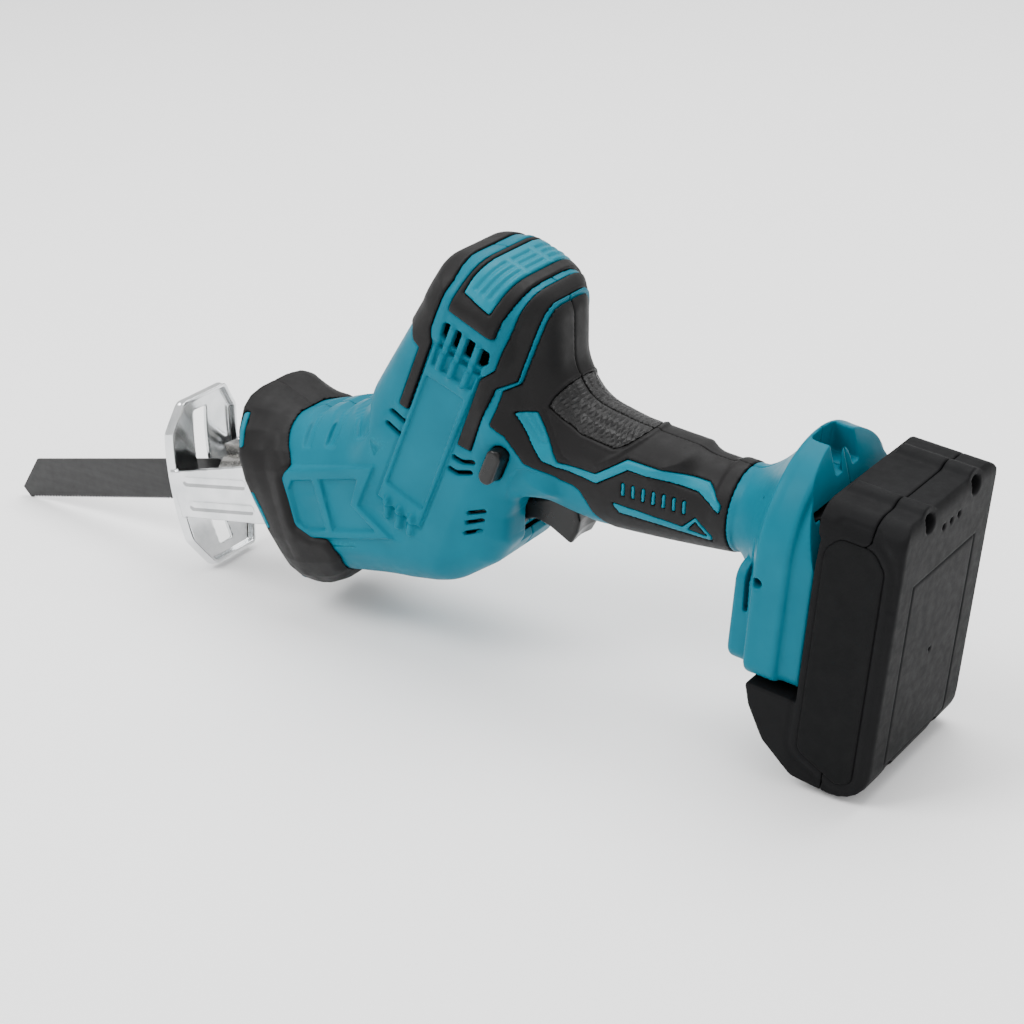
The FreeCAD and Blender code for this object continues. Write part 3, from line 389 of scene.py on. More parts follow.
TOP_STRIPS = [(76, -15), (130, -14.4), (130, 15.3), (76, 15.3)]
TOP_STRIPS_INSIDE = [(86, -11.6), (130, -11.3), (130, 11.4), (86, 11)]
BAND_PIT = [(80, -30.5), (88, -29.5)]
BOOT_VALLEY = [(-70, 30), (-67.5, 12), (-67, -6), (-66, -22)]
LID_LANES = (-5.9, -2.7, 0.5, 3.7)

SKIN = 2.6
GAP = 0.14
INLAY_PLAY = 0.12
INLAY_FLOOR = 4
BODY_HALF_WIDTH = 30
FLAT_SIDE = (20, 26)
GRIP_END = 75.5
NOSE_END = -77.5
FOOT_FLOOR = 150
MOUTH_HALF_WIDTH, MOUTH_HALF_HEIGHT = 24.5, 24
TRIGGER_WAY = 8.7
RIB_FOOT, RIB_RADIUS = 67.6, 1.25
BAR_COUNT, BAR_START, BAR_PITCH, BAR_HALF, BAR_RADIUS = 7, 97.0, 4.1, 2.0, 0.7
BOSSES = [(-62, -22), (-62, 20), (-30, 24), (33, -14), (24, 68), (60, 44)]
BOSS_RADIUS = 4.2
GRIP_BOSSES = [(26, 9.5), (52, -9)]
FOOT_SCREWS = [(152, 60), (160, -2)]
BUTTON = [(39.9, 28.7), (49.6, 28.7)]
BUTTON_RADIUS, BUTTON_PLAY = 3.1, 0.35


def tool_form(q):
    """The whole tool's smooth outer form, before any detail."""
    corner = 11 + 9 * ramp(q.s, 84, 104) + 15 * ramp(-q.x, 2, 26) * ramp(q.z, 4, 22)
    corner = corner + 9 * ramp(-q.x, -25, 30) * ramp(-q.z, 10, 24)
    corner = corner + 17 * ramp(q.p, 4, 20) * ramp(q.s, 50, 68) * ramp(-q.s, -112, -90)
    body = both(poly(q.x, q.z, BODY), q.ay - BODY_HALF_WIDTH + 4 * ramp(q.p, 20, 36), np.minimum(corner, 27))
    lift = through(q.gx, GRIP_STATIONS, GRIP_LIFT)
    height = through(q.gx, GRIP_STATIONS, GRIP_HALF_HEIGHT)
    width = through(q.gx, GRIP_STATIONS, GRIP_HALF_WIDTH)
    grip = ellipse(q.gz - lift, q.ay, height, width)
    grip = np.maximum(grip, slab(q.gx, -10, 77))
    web = both(poly(q.x, q.z, WEB), q.ay - 15, 9)
    upper = ramp(q.gz, -6, 10)
    form = smin(body, grip, 4 + 12 * upper)
    form = smin(form, web, 2 + 7 * upper)
    form = smax(form, -both(poly(q.x, q.z, NOTCH), q.ay - 60, 1), 1.5)
    return smin(form, foot_form(q), 2.5)


def d_shape(t, ay, half, front):
    """A plan that is square in front and round at the back."""
    low = both(ay - half, front - t, 7)
    high = np.sqrt(np.maximum(t - 41, 0) ** 2 + ay ** 2) - half
    return np.where(t > 41, high, low)


def foot_form(q):
    """Collar, flared flange, skirt and the block in front."""
    share = np.clip((q.n - 134) / 23.5, 0, 1) ** 1.7
    neck = ellipse(q.t - 38, q.ay, 15.8, 15.8)
    wide = d_shape(q.t, q.ay, 36.2, -7)
    flare = both(neck * (1 - share) + wide * share, slab(q.n, 128, 160), 0.5)
    flange = both(d_shape(q.t, q.ay, 37.0, -7.6), slab(q.n, 156.5, 170), 2.2)
    skirt = both(d_shape(q.t, q.ay, 34.5, -7.6), slab(q.n, 166, 178.5), 1.0)
    lower = both(both(q.ay - 32, slab(q.t, -7.4, 33), 7), slab(q.n, 147.3, 162), 2.0)
    whole = smin(smin(flare, flange, 2.0), skirt, 1.2)
    return smin(whole, lower, 1.5)


def foot_rooms(q):
    """The pack's channel, the hook holes, the slits and the release notch at the back of the foot."""
    rooms = both(slab(q.n, 165, 190), both(q.ay - 24, slab(q.t, -20, 60), 1), 0.4)
    rooms = np.minimum(rooms, np.maximum(slab(q.n, 168, 173.2), np.maximum(q.ay - 27.3, slab(q.t, -20, 60))))
    rooms = np.minimum(rooms, np.maximum(slab(q.n, 149, 166), np.maximum(q.ay - 20, slab(q.t, -3, 55))))
    hook = np.sqrt((q.n - 158.6) ** 2 + (q.t - 31.2) ** 2)
    rooms = np.minimum(rooms, np.maximum(hook - 1.9 - 0.8 * ramp(q.ay, 36.2, 37.4), 29 - q.ay))
    slit = path(q.x, q.z, [(157.2, -11), (149.8, -35.5)], 0.85)
    rooms = np.minimum(rooms, np.maximum(slit, 27.5 - q.ay))
    notch = both(slab(q.n, 158.5, 171.5), both(q.ay - 8.5, 66 - q.t, 1), 1.2)
    peg = np.sqrt(q.ay ** 2 + (q.n - 171.5) ** 2) - 4.2
    return np.minimum(rooms, np.maximum(notch, -np.maximum(peg, q.t - 75)))


def least(u, v, points):
    """Distance to the nearest of several points."""
    return np.sqrt(np.min([(u - a) ** 2 + (v - b) ** 2 for a, b in points], axis=0))


def nearest_path(u, v, lines, radius):
    """Signed distance to the nearest of several thick lines."""
    return np.min([path(u, v, line, radius) for line in lines], axis=0)


def grip_bars(q):
    """Plain slanted bars in a row on the grip's panel."""
    bars = []
    for k in range(BAR_COUNT):
        along = BAR_START + BAR_PITCH * k
        level = 3.9 - 0.29 * (along - 96)
        bars.append([(along + 0.5, level + BAR_HALF), (along - 0.5, level - BAR_HALF)])
    return nearest_path(q.x, q.z, bars, BAR_RADIUS)


class ToolSpot(Spot):
    """Tool-frame points with the tool's form and the outlines that several pieces share."""

    def __init__(self, x, y, z):
        super().__init__(x, y, z)
        self.form = tool_form(self)
        self.front = poly(self.s, self.p, FRONT_BAND)
        self.rear = poly(self.s, self.p, REAR_BAND)
        self.top = poly(self.s, self.p, TOP_FRAME)
        self.cover = poly(self.s, self.p, TOP_COVER)
        self.bead = poly(self.s, self.p, BEAD)
        bead_line = np.interp(self.s, BEAD_STATIONS, BEAD_BACK).astype(np.float32)
        rubber = np.maximum(poly(self.x, self.z, RUBBER), bead_line - self.p)
        self.rubber = np.maximum(rubber, self.gx - GRIP_END)
        self.flag = poly(self.x, self.z, FLAG)
        hole = poly(self.x, self.z, LOWER_INLAY_HOLE)
        lower = np.maximum(poly(self.x, self.z, LOWER_INLAY), 0.3 - hole)
        self.inlays = np.minimum(np.minimum(self.flag, lower), grip_bars(self))
        self.rooms = foot_rooms(self)
        self.trigger_way = np.maximum(np.maximum(self.ay - TRIGGER_WAY, slab(self.x, 36.5, 73)),
                                      slab(self.z, -30, 5))


def side_relief(q):
    """What stands out of the teal shell's smooth form, or sinks into it."""
    panel = poly(q.s, q.p, PANEL)
    inside = poly(q.s, q.p, PANEL_INSIDE)
    pocket = poly(q.s, q.p, WINDOW_POCKET)
    relief = raised(panel, 1.2, 0.4) - raised(inside, 1.3, 0.3) - raised(pocket, 1.5, 0.6)
    relief -= raised(np.abs(panel - 0.5) - 0.5, 0.6, 0.3)
    relief += raised(poly(q.x, q.z, NOSE_PANEL), 1.4, 0.45)
    for outline in NOSE_INSIDES:
        relief -= raised(poly(q.x, q.z, outline), 1.6, 0.35)
    for line in LOW_RIBS:
        relief += raised(path(q.x, q.z, line, 1.5), 2.0, 0.9)
    relief -= raised(poly(q.x, q.z, GUARD), 1.2, 0.5)
    for rib in RIBS:
        relief += raised(path(q.s, q.p, [(84.5, rib), (RIB_FOOT, rib + 0.2)], RIB_RADIUS), 2.4, 0.5)
    relief = relief * ramp(q.ay, *FLAT_SIDE)
    for fold in NOSE_FOLDS:
        relief -= raised(poly(q.x, q.z, fold), 1.9, 0.5) * ramp(q.z, 20, 27)
    strips = np.maximum(poly(q.s, q.p, TOP_STRIPS), -poly(q.s, q.p, TOP_STRIPS_INSIDE))
    relief += raised(strips, 0.6, 0.9)
    return relief + raised(q.bead, 1.0, 0.45)


def shell_openings(q):
    """The window and the slits through the teal shell's sides."""
    window = np.maximum(poly(q.s, q.p, WINDOW), 20 - q.ay)
    motor_slits = nearest_path(q.s, q.p, FRONT_SLITS + REAR_SLITS, 1.05)
    belly_slits = nearest_path(q.x, q.z, BELLY_SLITS, 0.85)
    slits = np.maximum(np.minimum(motor_slits, belly_slits), 16 - q.ay)
    return np.minimum(window, slits)


def window_ribs(q):
    ribs = nearest_path(q.s, q.p, [[(88, rib), (RIB_FOOT, rib + 0.2)] for rib in RIBS], RIB_RADIUS)
    outside = np.maximum(q.form - 0.9 * ramp(q.ay, *FLAT_SIDE), q.s - 86)
    return np.maximum(np.maximum(ribs, outside), -(q.form + 3.0))


def teal_shell(q):
    hollow = np.maximum(q.form + SKIN, q.n - FOOT_FLOOR)
    teal = np.maximum(q.form - side_relief(q), -hollow)
    teal = np.maximum(teal, -shell_openings(q))
    teal = np.minimum(teal, window_ribs(q))
    for mask in (q.front, q.rear, q.top, q.rubber):
        teal = np.maximum(teal, GAP - mask)
    bosses = least(q.x, q.z, BOSSES) - BOSS_RADIUS
    teal = np.minimum(teal, np.maximum(bosses, q.form + 1.0))
    teal = np.maximum(teal, -q.rooms)
    teal = np.maximum(teal, -q.trigger_way)
    teal = np.maximum(teal, -path(q.s, q.p, BUTTON, BUTTON_RADIUS + BUTTON_PLAY))
    mouth = np.maximum(q.ay - MOUTH_HALF_WIDTH, np.abs(q.z) - MOUTH_HALF_HEIGHT)
    mouth = np.maximum(mouth, slab(q.x, -85, -72))
    teal = np.maximum(teal, -mouth)
    return np.maximum(teal, NOSE_END - q.x)


def grip_rubber(q):
    """Black rubber over the handle and the motor's back, cut open for the inlays and the knurled pad."""
    patch = poly(q.x, q.z, TEXTURE)
    skin = 0.35 - raised(path(q.x, q.z, CREASE, 0.3), 0.5, 0.4) * ramp(q.ay, 10, 16)
    skin = skin + raised(path(q.x, q.z, PATCH_EDGE, 0.6), 0.5, 0.5)
    skin = skin - raised(np.abs(q.flag) - 0.15, 0.6, 0.35) - raised(q.ay - 0.3, 0.35, 0.3)
    skin = skin + raised(np.abs(patch + 0.2) - 0.5, 0.45, 0.4)
    grip = np.maximum(q.form - skin, -(q.form + SKIN))
    grip = np.maximum(grip, q.rubber + 0.1)
    for mask in (q.front, q.rear, q.top):
        grip = np.maximum(grip, GAP - mask)
    grip = np.maximum(grip, 0.12 - q.bead)
    grip = np.maximum(grip, -np.maximum(q.inlays - INLAY_PLAY, INLAY_FLOOR - q.ay))
    grip = np.maximum(grip, -q.trigger_way)
    return np.maximum(grip, -np.maximum(patch + 0.65, -(q.form + 1.1)))


def knurled_patch(q):
    patch = poly(q.x, q.z, TEXTURE)
    pad = np.maximum(np.maximum(q.form - 0.30, patch + 0.75), -(q.form + 1.0))
    return np.maximum(pad, 0.15 - q.ay)


def grip_inlays(q):
    proud = 0.55
    for line in FLAG_GROOVES:
        proud = proud - raised(path(q.x, q.z, line, 0.5), 0.6, 0.3)
    inset = np.maximum(q.inlays + INLAY_PLAY, INLAY_FLOOR - q.ay)
    return np.maximum(both(q.form - proud, inset, 0.35), -(q.form + 1.6))


def side_bands(q):
    pit = path(q.s, q.p, BAND_PIT, 1.6)
    proud = 0.75 - raised(np.maximum(pit, 14 - q.ay), 0.5, 0.4)
    bands = both(q.form - proud, np.minimum(q.front, q.rear) + GAP, 0.5)
    return np.maximum(np.maximum(bands, -(q.form + SKIN)), -q.rooms)


def top_frame(q):
    ring = np.maximum(q.top + GAP, GAP - q.cover)
    outer = q.form - 0.95 - 0.15 * raised(slab(q.s, 91, 97.5), 1, 1)
    return np.maximum(both(outer, ring, 0.5), -(q.form + SKIN))


def top_lid(q):
    """Teal cover with lengthwise lanes pressed into its crown."""
    lanes = np.min([np.abs(q.p - lane) - 0.75 for lane in LID_LANES], axis=0)
    lanes = np.maximum(lanes, 102.0 - q.s)
    lanes = np.maximum(lanes, 1.4 - np.abs(q.ay - 7.5))
    return np.maximum(both(q.form - 1.1 + raised(lanes, 0.75, 0.4), q.cover + GAP, 0.6), -(q.form + SKIN))


def screw_fields(q):
    """The shell screws, and the recesses they sit in."""
    recesses, screws = [], []
    for distance, seat in ((least(q.x, q.z, BOSSES), 19), (least(q.gx, q.gz, GRIP_BOSSES), 8),
                           (least(q.n, q.t, FOOT_SCREWS), 18)):
        recesses.append(np.maximum(distance - 3.3, seat - q.ay))
        head = both(distance - 2.9, slab(q.ay, seat, seat + 2.0), 0.5)
        head = np.maximum(head, -np.maximum(distance - 1.3, seat + 0.9 - q.ay))
        screws.append(np.minimum(head, np.maximum(distance - 1.4, slab(q.ay, 1, seat + 0.4))))
    return np.min(recesses, axis=0), np.min(screws, axis=0)


def shell_fields(x, y, z):
    """Every outer piece of the tool."""
    q = ToolSpot(x, y, z)
    teal, grip = teal_shell(q), grip_rubber(q)
    recesses, screws = screw_fields(q)
    return {
        "teal": teal,
        "teal_bored": np.maximum(teal, -recesses),
        "grip": grip,
        "grip_bored": np.maximum(grip, -recesses),
        "pads": knurled_patch(q),
        "screws": screws,
        "inlays": grip_inlays(q),
        "black": side_bands(q),
        "trim": top_frame(q),
        "lid": top_lid(q),
    }


def boot_fields(x, y, z):
    """The rubber boot on the nose, with its front mouth open for the shoe and the plunger."""
    q = Spot(x, y, z)
    side = poly(q.x, q.z, BOOT_SIDE)
    front = poly(q.ay, q.z, mirrored(BOOT_FRONT))
    rear = poly(q.ay, q.z, mirrored(BOOT_REAR))
    share = ramp(q.x, -83, -63)
    form = both(side, front * (1 - share) + rear * share, 4.0)
    seam = np.maximum(q.ay - 0.25, 30 - q.z)
    form = form + raised(seam, 0.5, 0.35)
    form = form + raised(path(q.x, q.z, BOOT_VALLEY, 3.0), 0.8, 4.0) * ramp(q.ay, 22, 28)
    boot = np.maximum(form, -(tool_form(q) - 0.25))
    boot = np.maximum(boot, -both(q.ay - MOUTH_HALF_WIDTH, np.abs(q.z) - MOUTH_HALF_HEIGHT, 5))
    pills = np.min([path(q.x, q.z, [top, low], reach) for top, low, reach in PILLS], axis=0)
    pills = np.maximum(pills, 5 - q.ay)
    inserts = np.maximum(pills + 0.1, np.maximum(form - 0.25, -(form + 1.2)))
    return {"boot": np.maximum(boot, -np.maximum(pills - 0.1, -(form + 1.4))), "pills": inserts}


# ------------------------------------------------------------------ battery pack

PACK_SIDE = rounded([(178.9, 72, 3), (211.3, 72, 8), (211.3, -41.6, 14), (181, -40, 6), (168, -30, 6),
                     (161, -18, 5), (158.6, -9.3, 1.2), (178.9, -9.3, 0.5)])
INLAY = rounded([(182, -28, 5), (182, 54, 7), (187, 60, 6), (200, 60, 6), (205, 53, 6), (205, -33, 5),
                 (199, -36, 5)])
INLAY_ARC = [(176, 40), (180.5, 58), (187, 65.5), (200, 65.5), (207.5, 58), (208.6, 40)]
SEAM_STATIONS = [-60, 30, 56, 62, 90]
SEAM_LEVELS = [193.5, 193.0, 193.4, 198.5, 198.5]
PACK_SCREWS = [(18, 66.2), (18, -34.5)]
PACK_HALF_WIDTH = 37.3


def pack_form(n, ay, t):
    """The pack's outer form with its screw bosses and the shallow lines pressed into it."""
    plan = both(ay - PACK_HALF_WIDTH, slab(t, -60, 70.0), 9.5)
    side = np.maximum(poly(n, t, PACK_SIDE), plan)
    form = both(side, ay - PACK_HALF_WIDTH + 1.6 * ramp(n, 206.5, 212), 1.6)
    form = smax(form, n - 211.2, 2.0)
    boss = np.maximum(least(ay, t, PACK_SCREWS[:1]) - 5.8, slab(n, 181, 209))
    form = smin(form, boss, 1.2)
    arc = path(n, t, INLAY_ARC, 1.3)
    relief = -raised(np.maximum(arc, 30 - ay), 0.45, 0.9)
    border = np.abs(poly(n, t, INLAY) - 3.4) - 1.0
    relief = relief - raised(np.maximum(border, 28 - ay), 0.45, 0.9)
    rectangle = np.abs(np.maximum(slab(ay, -1, 24), slab(t, -30, 44))) - 0.3
    relief = relief - raised(np.maximum(rectangle, 208 - n), 0.6, 0.3)
    return form - relief


def pack_cuts(n, ay, t):
    """The light holes, screw pockets, inlay recesses and the room for the cells."""
    dots = [(0.0, 60, 1.15), (6.0, 60, 1.15), (0.0, 8, 0.8)]
    holes = np.min([least(ay, t, [(across, up)]) - radius for across, up, radius in dots], axis=0)
    pockets = np.maximum(least(ay, t, PACK_SCREWS) - 3.5, 201.5 - n)
    recess = np.maximum(poly(n, t, INLAY) - 0.12, 36.4 - ay)
    room = np.maximum(slab(n, 181.2, 208.9), both(ay - 34.8, slab(t, -38.0, 66.5), 8))
    room = np.maximum(room, 5 - least(ay, t, PACK_SCREWS))
    return np.min([np.maximum(holes, 208.5 - n), pockets, recess, room], axis=0)


def pack_rails(n, ay, t):
    """Two grooved rails on top of the cover."""
    return np.minimum(np.maximum(slab(n, 167, 179.5), np.maximum(ay - 23.6, slab(t, -9.2, 57))),
                      np.maximum(slab(n, 168.5, 172.7), np.maximum(ay - 26.9, slab(t, -9.2, 57))))


def pack_fields(n, y, t):
    """Cover, base and side inlays of the pack, in the battery frame."""
    ay = np.abs(y)
    whole = np.minimum(np.maximum(pack_form(n, ay, t), -pack_cuts(n, ay, t)), pack_rails(n, ay, t))
    for across in (0, 8):
        slot = np.maximum(np.abs(ay - across) - 1.2, np.maximum(slab(n, 165, 176.5), slab(t, 36, 60)))
        whole = np.maximum(whole, -slot)
    latch_room = np.maximum(slab(n, 150, 175), np.maximum(ay - 11.4, slab(t, -31, -13.6)))
    whole = np.maximum(whole, -latch_room)
    seam = (n - np.interp(t, SEAM_STATIONS, SEAM_LEVELS).astype(np.float32)) * 0.9
    inlay = np.maximum(poly(n, t, INLAY) + 0.1, 36.35 - ay)
    return {
        "cover": np.maximum(whole, seam + 0.13),
        "base": np.maximum(whole, 0.13 - seam),
        "inlay": both(inlay, ay - 37.05, 0.25),
    }


# ------------------------------------------------------------------ shoe, trigger and button

SHOE_OUTLINE = rounded(mirrored([(13, -35, 3), (20.4, -21, 4), (20.4, 28, 4), (13, 40, 3)]))
SHOE_CENTRE = (-19.5, -9.0)
SHOE_RADIUS = 119.1
SHOE_HALF_THICKNESS = 0.85
SHOE_PIVOT = to_tool("shoe_tilt")
ARM = rounded([(-136, -9.5, 0.5), (-136, 11.2, 0.5), (-90, 13.7, 0), (-58, 12, 8), (-58, -12, 8),
               (-90, -12.3, 0)])
ARM_RIBS = [[(-128, 7.0), (-95, 5.6)], [(-128, -4.2), (-94, -5.7)]]


def shoe_fields(x, y, z):
    """The pressed steel shoe: curved plate, turned-back rim, slot and two ribbed arms."""
    ay = np.abs(y)
    distance = np.sqrt((x - SHOE_CENTRE[0]) ** 2 + (z - SHOE_CENTRE[1]) ** 2)
    outline = poly(ay, z, SHOE_OUTLINE)
    plate = both(np.abs(distance - SHOE_RADIUS) - SHOE_HALF_THICKNESS, outline, 0.5)
    rim = both(np.abs(outline + SHOE_HALF_THICKNESS) - SHOE_HALF_THICKNESS, slab(distance, 115.4, 119.9), 0.4)
    sheet = smin(plate, rim, 1.6)
    slot = both(ay - 4, slab(z, -29, 33), 1.2)
    sheet = np.maximum(np.maximum(sheet, -slot), x + 100)
    bulge = 0
    for line in ARM_RIBS:
        bulge = bulge + raised(path(x, z, line, 1.9), 0.85, 1.0)
    arm = both(np.abs(ay + bulge - 20.0) - 0.95, poly(x, z, ARM), 0.4)
    bore = least(x, z, [SHOE_PIVOT]) - 4.1
    return {"shoe": np.maximum(smin(sheet, arm, 1.4), -bore)}


TRIGGER = rounded([(39.3, -4.2, 2), (37.4, -16.6, 0.8), (41, -13.2, 3), (46, -12.8, 5), (51.8, -16.3, 9),
                   (59.7, -23.4, 1.4), (64.2, -18.6, 1.6), (66.8, -13.4, 2), (66.2, -3, 1.5)])


def trigger_fields(x, y, z):
    ay = np.abs(y)
    hollow_face = 0.9 * np.exp(-(ay / 6.0) ** 2) * ramp(-z, 6, 12)
    return {"trigger": both(poly(x, z, TRIGGER) + hollow_face, ay - 7.9, 1.6)}


def button_fields(x, y, z):
    q = Spot(x, y, z)
    pill = path(q.s, q.p, BUTTON, BUTTON_RADIUS)
    return {"button": both(pill, slab(q.ay, 0, 33.4), 1.1)}


# ------------------------------------------------------------------ materials


class Nodes:
    """A small wrapper for writing node trees in one line each."""

    def __init__(self, name):
        self.material = bpy.data.materials.new(name)
        self.material.use_nodes = True
        self.tree = self.material.node_tree
        self.tree.nodes.clear()
        self.shader = self.tree.nodes.new("ShaderNodeBsdfPrincipled")
        output = self.tree.nodes.new("ShaderNodeOutputMaterial")
        self.link(self.shader.outputs[0], output.inputs[0])
        self.place = self.tree.nodes.new("ShaderNodeTexCoord").outputs["Object"]

    def link(self, a, b):
        self.tree.links.new(a, b)

    def noise(self, scale, detail=3.0, rough=0.55, stretch=None):
        node = self.tree.nodes.new("ShaderNodeTexNoise")
        node.inputs["Scale"].default_value = scale
        node.inputs["Detail"].default_value = detail
        node.inputs["Roughness"].default_value = rough
        source = self.place
        if stretch:
            mapping = self.tree.nodes.new("ShaderNodeMapping")
            mapping.inputs["Scale"].default_value = stretch
            mapping.inputs["Rotation"].default_value = (0, REST_PITCH, 0)
            self.link(self.place, mapping.inputs[0])
            source = mapping.outputs[0]
        self.link(source, node.inputs["Vector"])
        return node.outputs[0]

    def remap(self, value, low, high, out_low, out_high):
        node = self.tree.nodes.new("ShaderNodeMapRange")
        for key, number in (("From Min", low), ("From Max", high), ("To Min", out_low), ("To Max", out_high)):
            node.inputs[key].default_value = number
        self.link(value, node.inputs["Value"])
        return node.outputs[0]

    def mix(self, factor, a, b):
        node = self.tree.nodes.new("ShaderNodeMix")
        node.data_type = "RGBA"
        for slot, colour in ((6, a), (7, b)):
            if isinstance(colour, tuple):
                node.inputs[slot].default_value = (*colour, 1)
            else:
                self.link(colour, node.inputs[slot])
        self.link(factor, node.inputs[0])
        return node.outputs[2]

    def bump(self, value, strength, distance, before=None):
        node = self.tree.nodes.new("ShaderNodeBump")
        node.inputs["Strength"].default_value = strength
        node.inputs["Distance"].default_value = distance
        self.link(value, node.inputs["Height"])
        if before:
            self.link(before, node.inputs["Normal"])
        return node.outputs[0]

    def edges(self):
        """1 on convex edges, 0 elsewhere."""
        geometry = self.tree.nodes.new("ShaderNodeNewGeometry")
        return self.remap(geometry.outputs["Pointiness"], 0.53, 0.62, 0, 1)

    def multiply(self, a, b):
        node = self.tree.nodes.new("ShaderNodeMath")
        node.operation = "MULTIPLY"
        self.link(a, node.inputs[0])
        self.link(b, node.inputs[1])
        return node.outputs[0]

    def set(self, **values):
        for key, value in values.items():
            socket = self.shader.inputs[key.replace("_", " ")]
            if isinstance(value, (float, int)):
                socket.default_value = value
            elif isinstance(value, tuple):
                socket.default_value = (*value, 1)
            else:
                self.link(value, socket)
        return self


def plastic(name, base, dark, rough, grain, grain_size, wear, specular):
    """Moulded plastic or rubber: cloudy colour, fine grain, and edges scuffed to the wear colour."""
    m = Nodes(name)
    cloud = m.noise(38, 4)
    colour = m.mix(m.remap(cloud, 0.35, 0.68, 0, 1), dark, base)
    if wear:
        scuffs = m.remap(m.noise(900, 3, 0.7), 0.5, 0.72, 0, 1)
        colour = m.mix(m.multiply(m.edges(), scuffs), colour, wear)
    fine = m.noise(grain_size, 2)
    low = m.bump(m.noise(120, 2), 0.06, 0.0004)
    normal = m.bump(fine, grain, 0.00012, low)
    roughness = m.remap(m.noise(260, 4, 0.6), 0.3, 0.7, rough - 0.05, rough + 0.06)
    return m.set(Base_Color=colour, Roughness=roughness, Normal=normal, Specular_IOR_Level=specular).material


def metal(name, base, dark, rough, brushed, bump):
    """Bare metal: blotched colour, and a grain that brushed, where it is given, stretches one way."""
    m = Nodes(name)
    blotches = m.noise(90, 4)
    colour = m.mix(m.remap(blotches, 0.35, 0.65, 0, 1), dark, base)
    lines = m.noise(700, 2, 0.5, brushed) if brushed else m.noise(1500, 2)
    normal = m.bump(lines, bump, 0.00008)
    spread = m.remap(m.noise(320, 4, 0.65, brushed), 0.3, 0.7, rough * 0.75, rough * 1.3)
    return m.set(Base_Color=colour, Metallic=1.0, Roughness=spread, Normal=normal).material


TEAL = plastic("teal_abs", (0.0002, 0.122, 0.176), (0.0002, 0.106, 0.154), 0.40, 0.10, 2600,
               (0.002, 0.19, 0.25), 0.09)
TEAL_LIGHT = plastic("teal_abs_trim", (0.0003, 0.158, 0.222), (0.0003, 0.138, 0.196), 0.36, 0.08, 2600,
                     (0.003, 0.23, 0.29), 0.12)
RUBBER_BLACK = plastic("soft_rubber", (0.0068, 0.0063, 0.0065), (0.0050, 0.0047, 0.0048), 0.55, 0.35, 2300,
                       (0.020, 0.019, 0.019), 0.17)
SHELL_BLACK = plastic("pack_abs", (0.0066, 0.0067, 0.0072), (0.0049, 0.0050, 0.0054), 0.58, 0.22, 3000,
                      (0.03, 0.03, 0.03), 0.07)
INLAY_BLACK = plastic("pack_inlay_finish", (0.0048, 0.0050, 0.0053), (0.0035, 0.0037, 0.0040), 0.62, 0.75,
                      3600, None, 0.08)
GLOSS_BLACK = plastic("button_gloss", (0.0050, 0.0048, 0.0048), (0.0036, 0.0036, 0.0036), 0.30, 0.05, 2500,
                      (0.03, 0.03, 0.03), 0.28)
ZINC = metal("bright_zinc", (0.74, 0.75, 0.76), (0.60, 0.62, 0.63), 0.17, (1, 0.2, 0.2), 0.10)
STEEL = metal("machined_steel", (0.56, 0.56, 0.55), (0.42, 0.42, 0.41), 0.28, (0.15, 1, 1), 0.15)
CAST = metal("cast_aluminium", (0.46, 0.46, 0.47), (0.35, 0.35, 0.36), 0.48, None, 0.5)
BRONZE = metal("sintered_bronze", (0.50, 0.30, 0.13), (0.36, 0.21, 0.09), 0.42, None, 0.35)
COPPER = metal("bare_copper", (0.72, 0.33, 0.18), (0.55, 0.24, 0.13), 0.30, (1, 8, 1), 0.3)
MAGNET = metal("magnet_nickel", (0.36, 0.36, 0.37), (0.24, 0.24, 0.25), 0.38, None, 0.25)
SCREW = metal("screw_zinc", (0.62, 0.61, 0.58), (0.40, 0.39, 0.37), 0.24, None, 0.2)
BOARD = plastic("solder_mask", (0.010, 0.085, 0.030), (0.008, 0.060, 0.022), 0.32, 0.15, 1800,
                (0.2, 0.3, 0.15), 0.5)
WRAP = plastic("cell_sleeve", (0.035, 0.16, 0.34), (0.028, 0.125, 0.27), 0.30, 0.05, 1500,
               (0.3, 0.4, 0.5), 0.5)


def knurled_pad():
    """Rubber covered with small raised diamonds, with painted shade darkening the grooves between them."""
    m = Nodes("knurled_rubber")
    mapping = m.tree.nodes.new("ShaderNodeMapping")
    mapping.inputs["Scale"].default_value = (640, 240, 640)
    mapping.inputs["Rotation"].default_value = (0, math.radians(36), 0)
    m.link(m.place, mapping.inputs[0])
    cells = m.tree.nodes.new("ShaderNodeTexVoronoi")
    cells.distance = "CHEBYCHEV"
    cells.inputs["Scale"].default_value = 1.0
    cells.inputs["Randomness"].default_value = 0.35
    m.link(mapping.outputs[0], cells.inputs["Vector"])
    height = m.remap(cells.outputs["Distance"], 0.1, 0.62, 1, 0)
    # painted shade: the colour follows the diamonds' height, darker in the grooves between them and lighter on
    # their raised tops
    colour = m.mix(height, (0.0032, 0.0031, 0.0032), (0.0115, 0.0110, 0.0112))
    normal = m.bump(height, 0.85, 0.0006, m.bump(m.noise(2300, 2), 0.25, 0.0001))
    roughness = m.remap(m.noise(320, 3), 0.3, 0.7, 0.40, 0.54)
    return m.set(Base_Color=colour, Roughness=roughness, Normal=normal, Specular_IOR_Level=0.28).material


PAD_BLACK = knurled_pad()


def blade_coat():
    """Satin black coating with fine streaks along the blade."""
    m = Nodes("blade_coating")
    streaks = m.noise(420, 4, 0.6, (0.08, 1, 1))
    colour = m.mix(m.remap(streaks, 0.35, 0.68, 0, 1), (0.0050, 0.0050, 0.0052), (0.0105, 0.0105, 0.011))
    normal = m.bump(streaks, 0.15, 0.0001)
    roughness = m.remap(m.noise(300, 3), 0.3, 0.7, 0.36, 0.5)
    return m.set(Base_Color=colour, Metallic=0.3, Roughness=roughness, Normal=normal).material


BLADE = blade_coat()

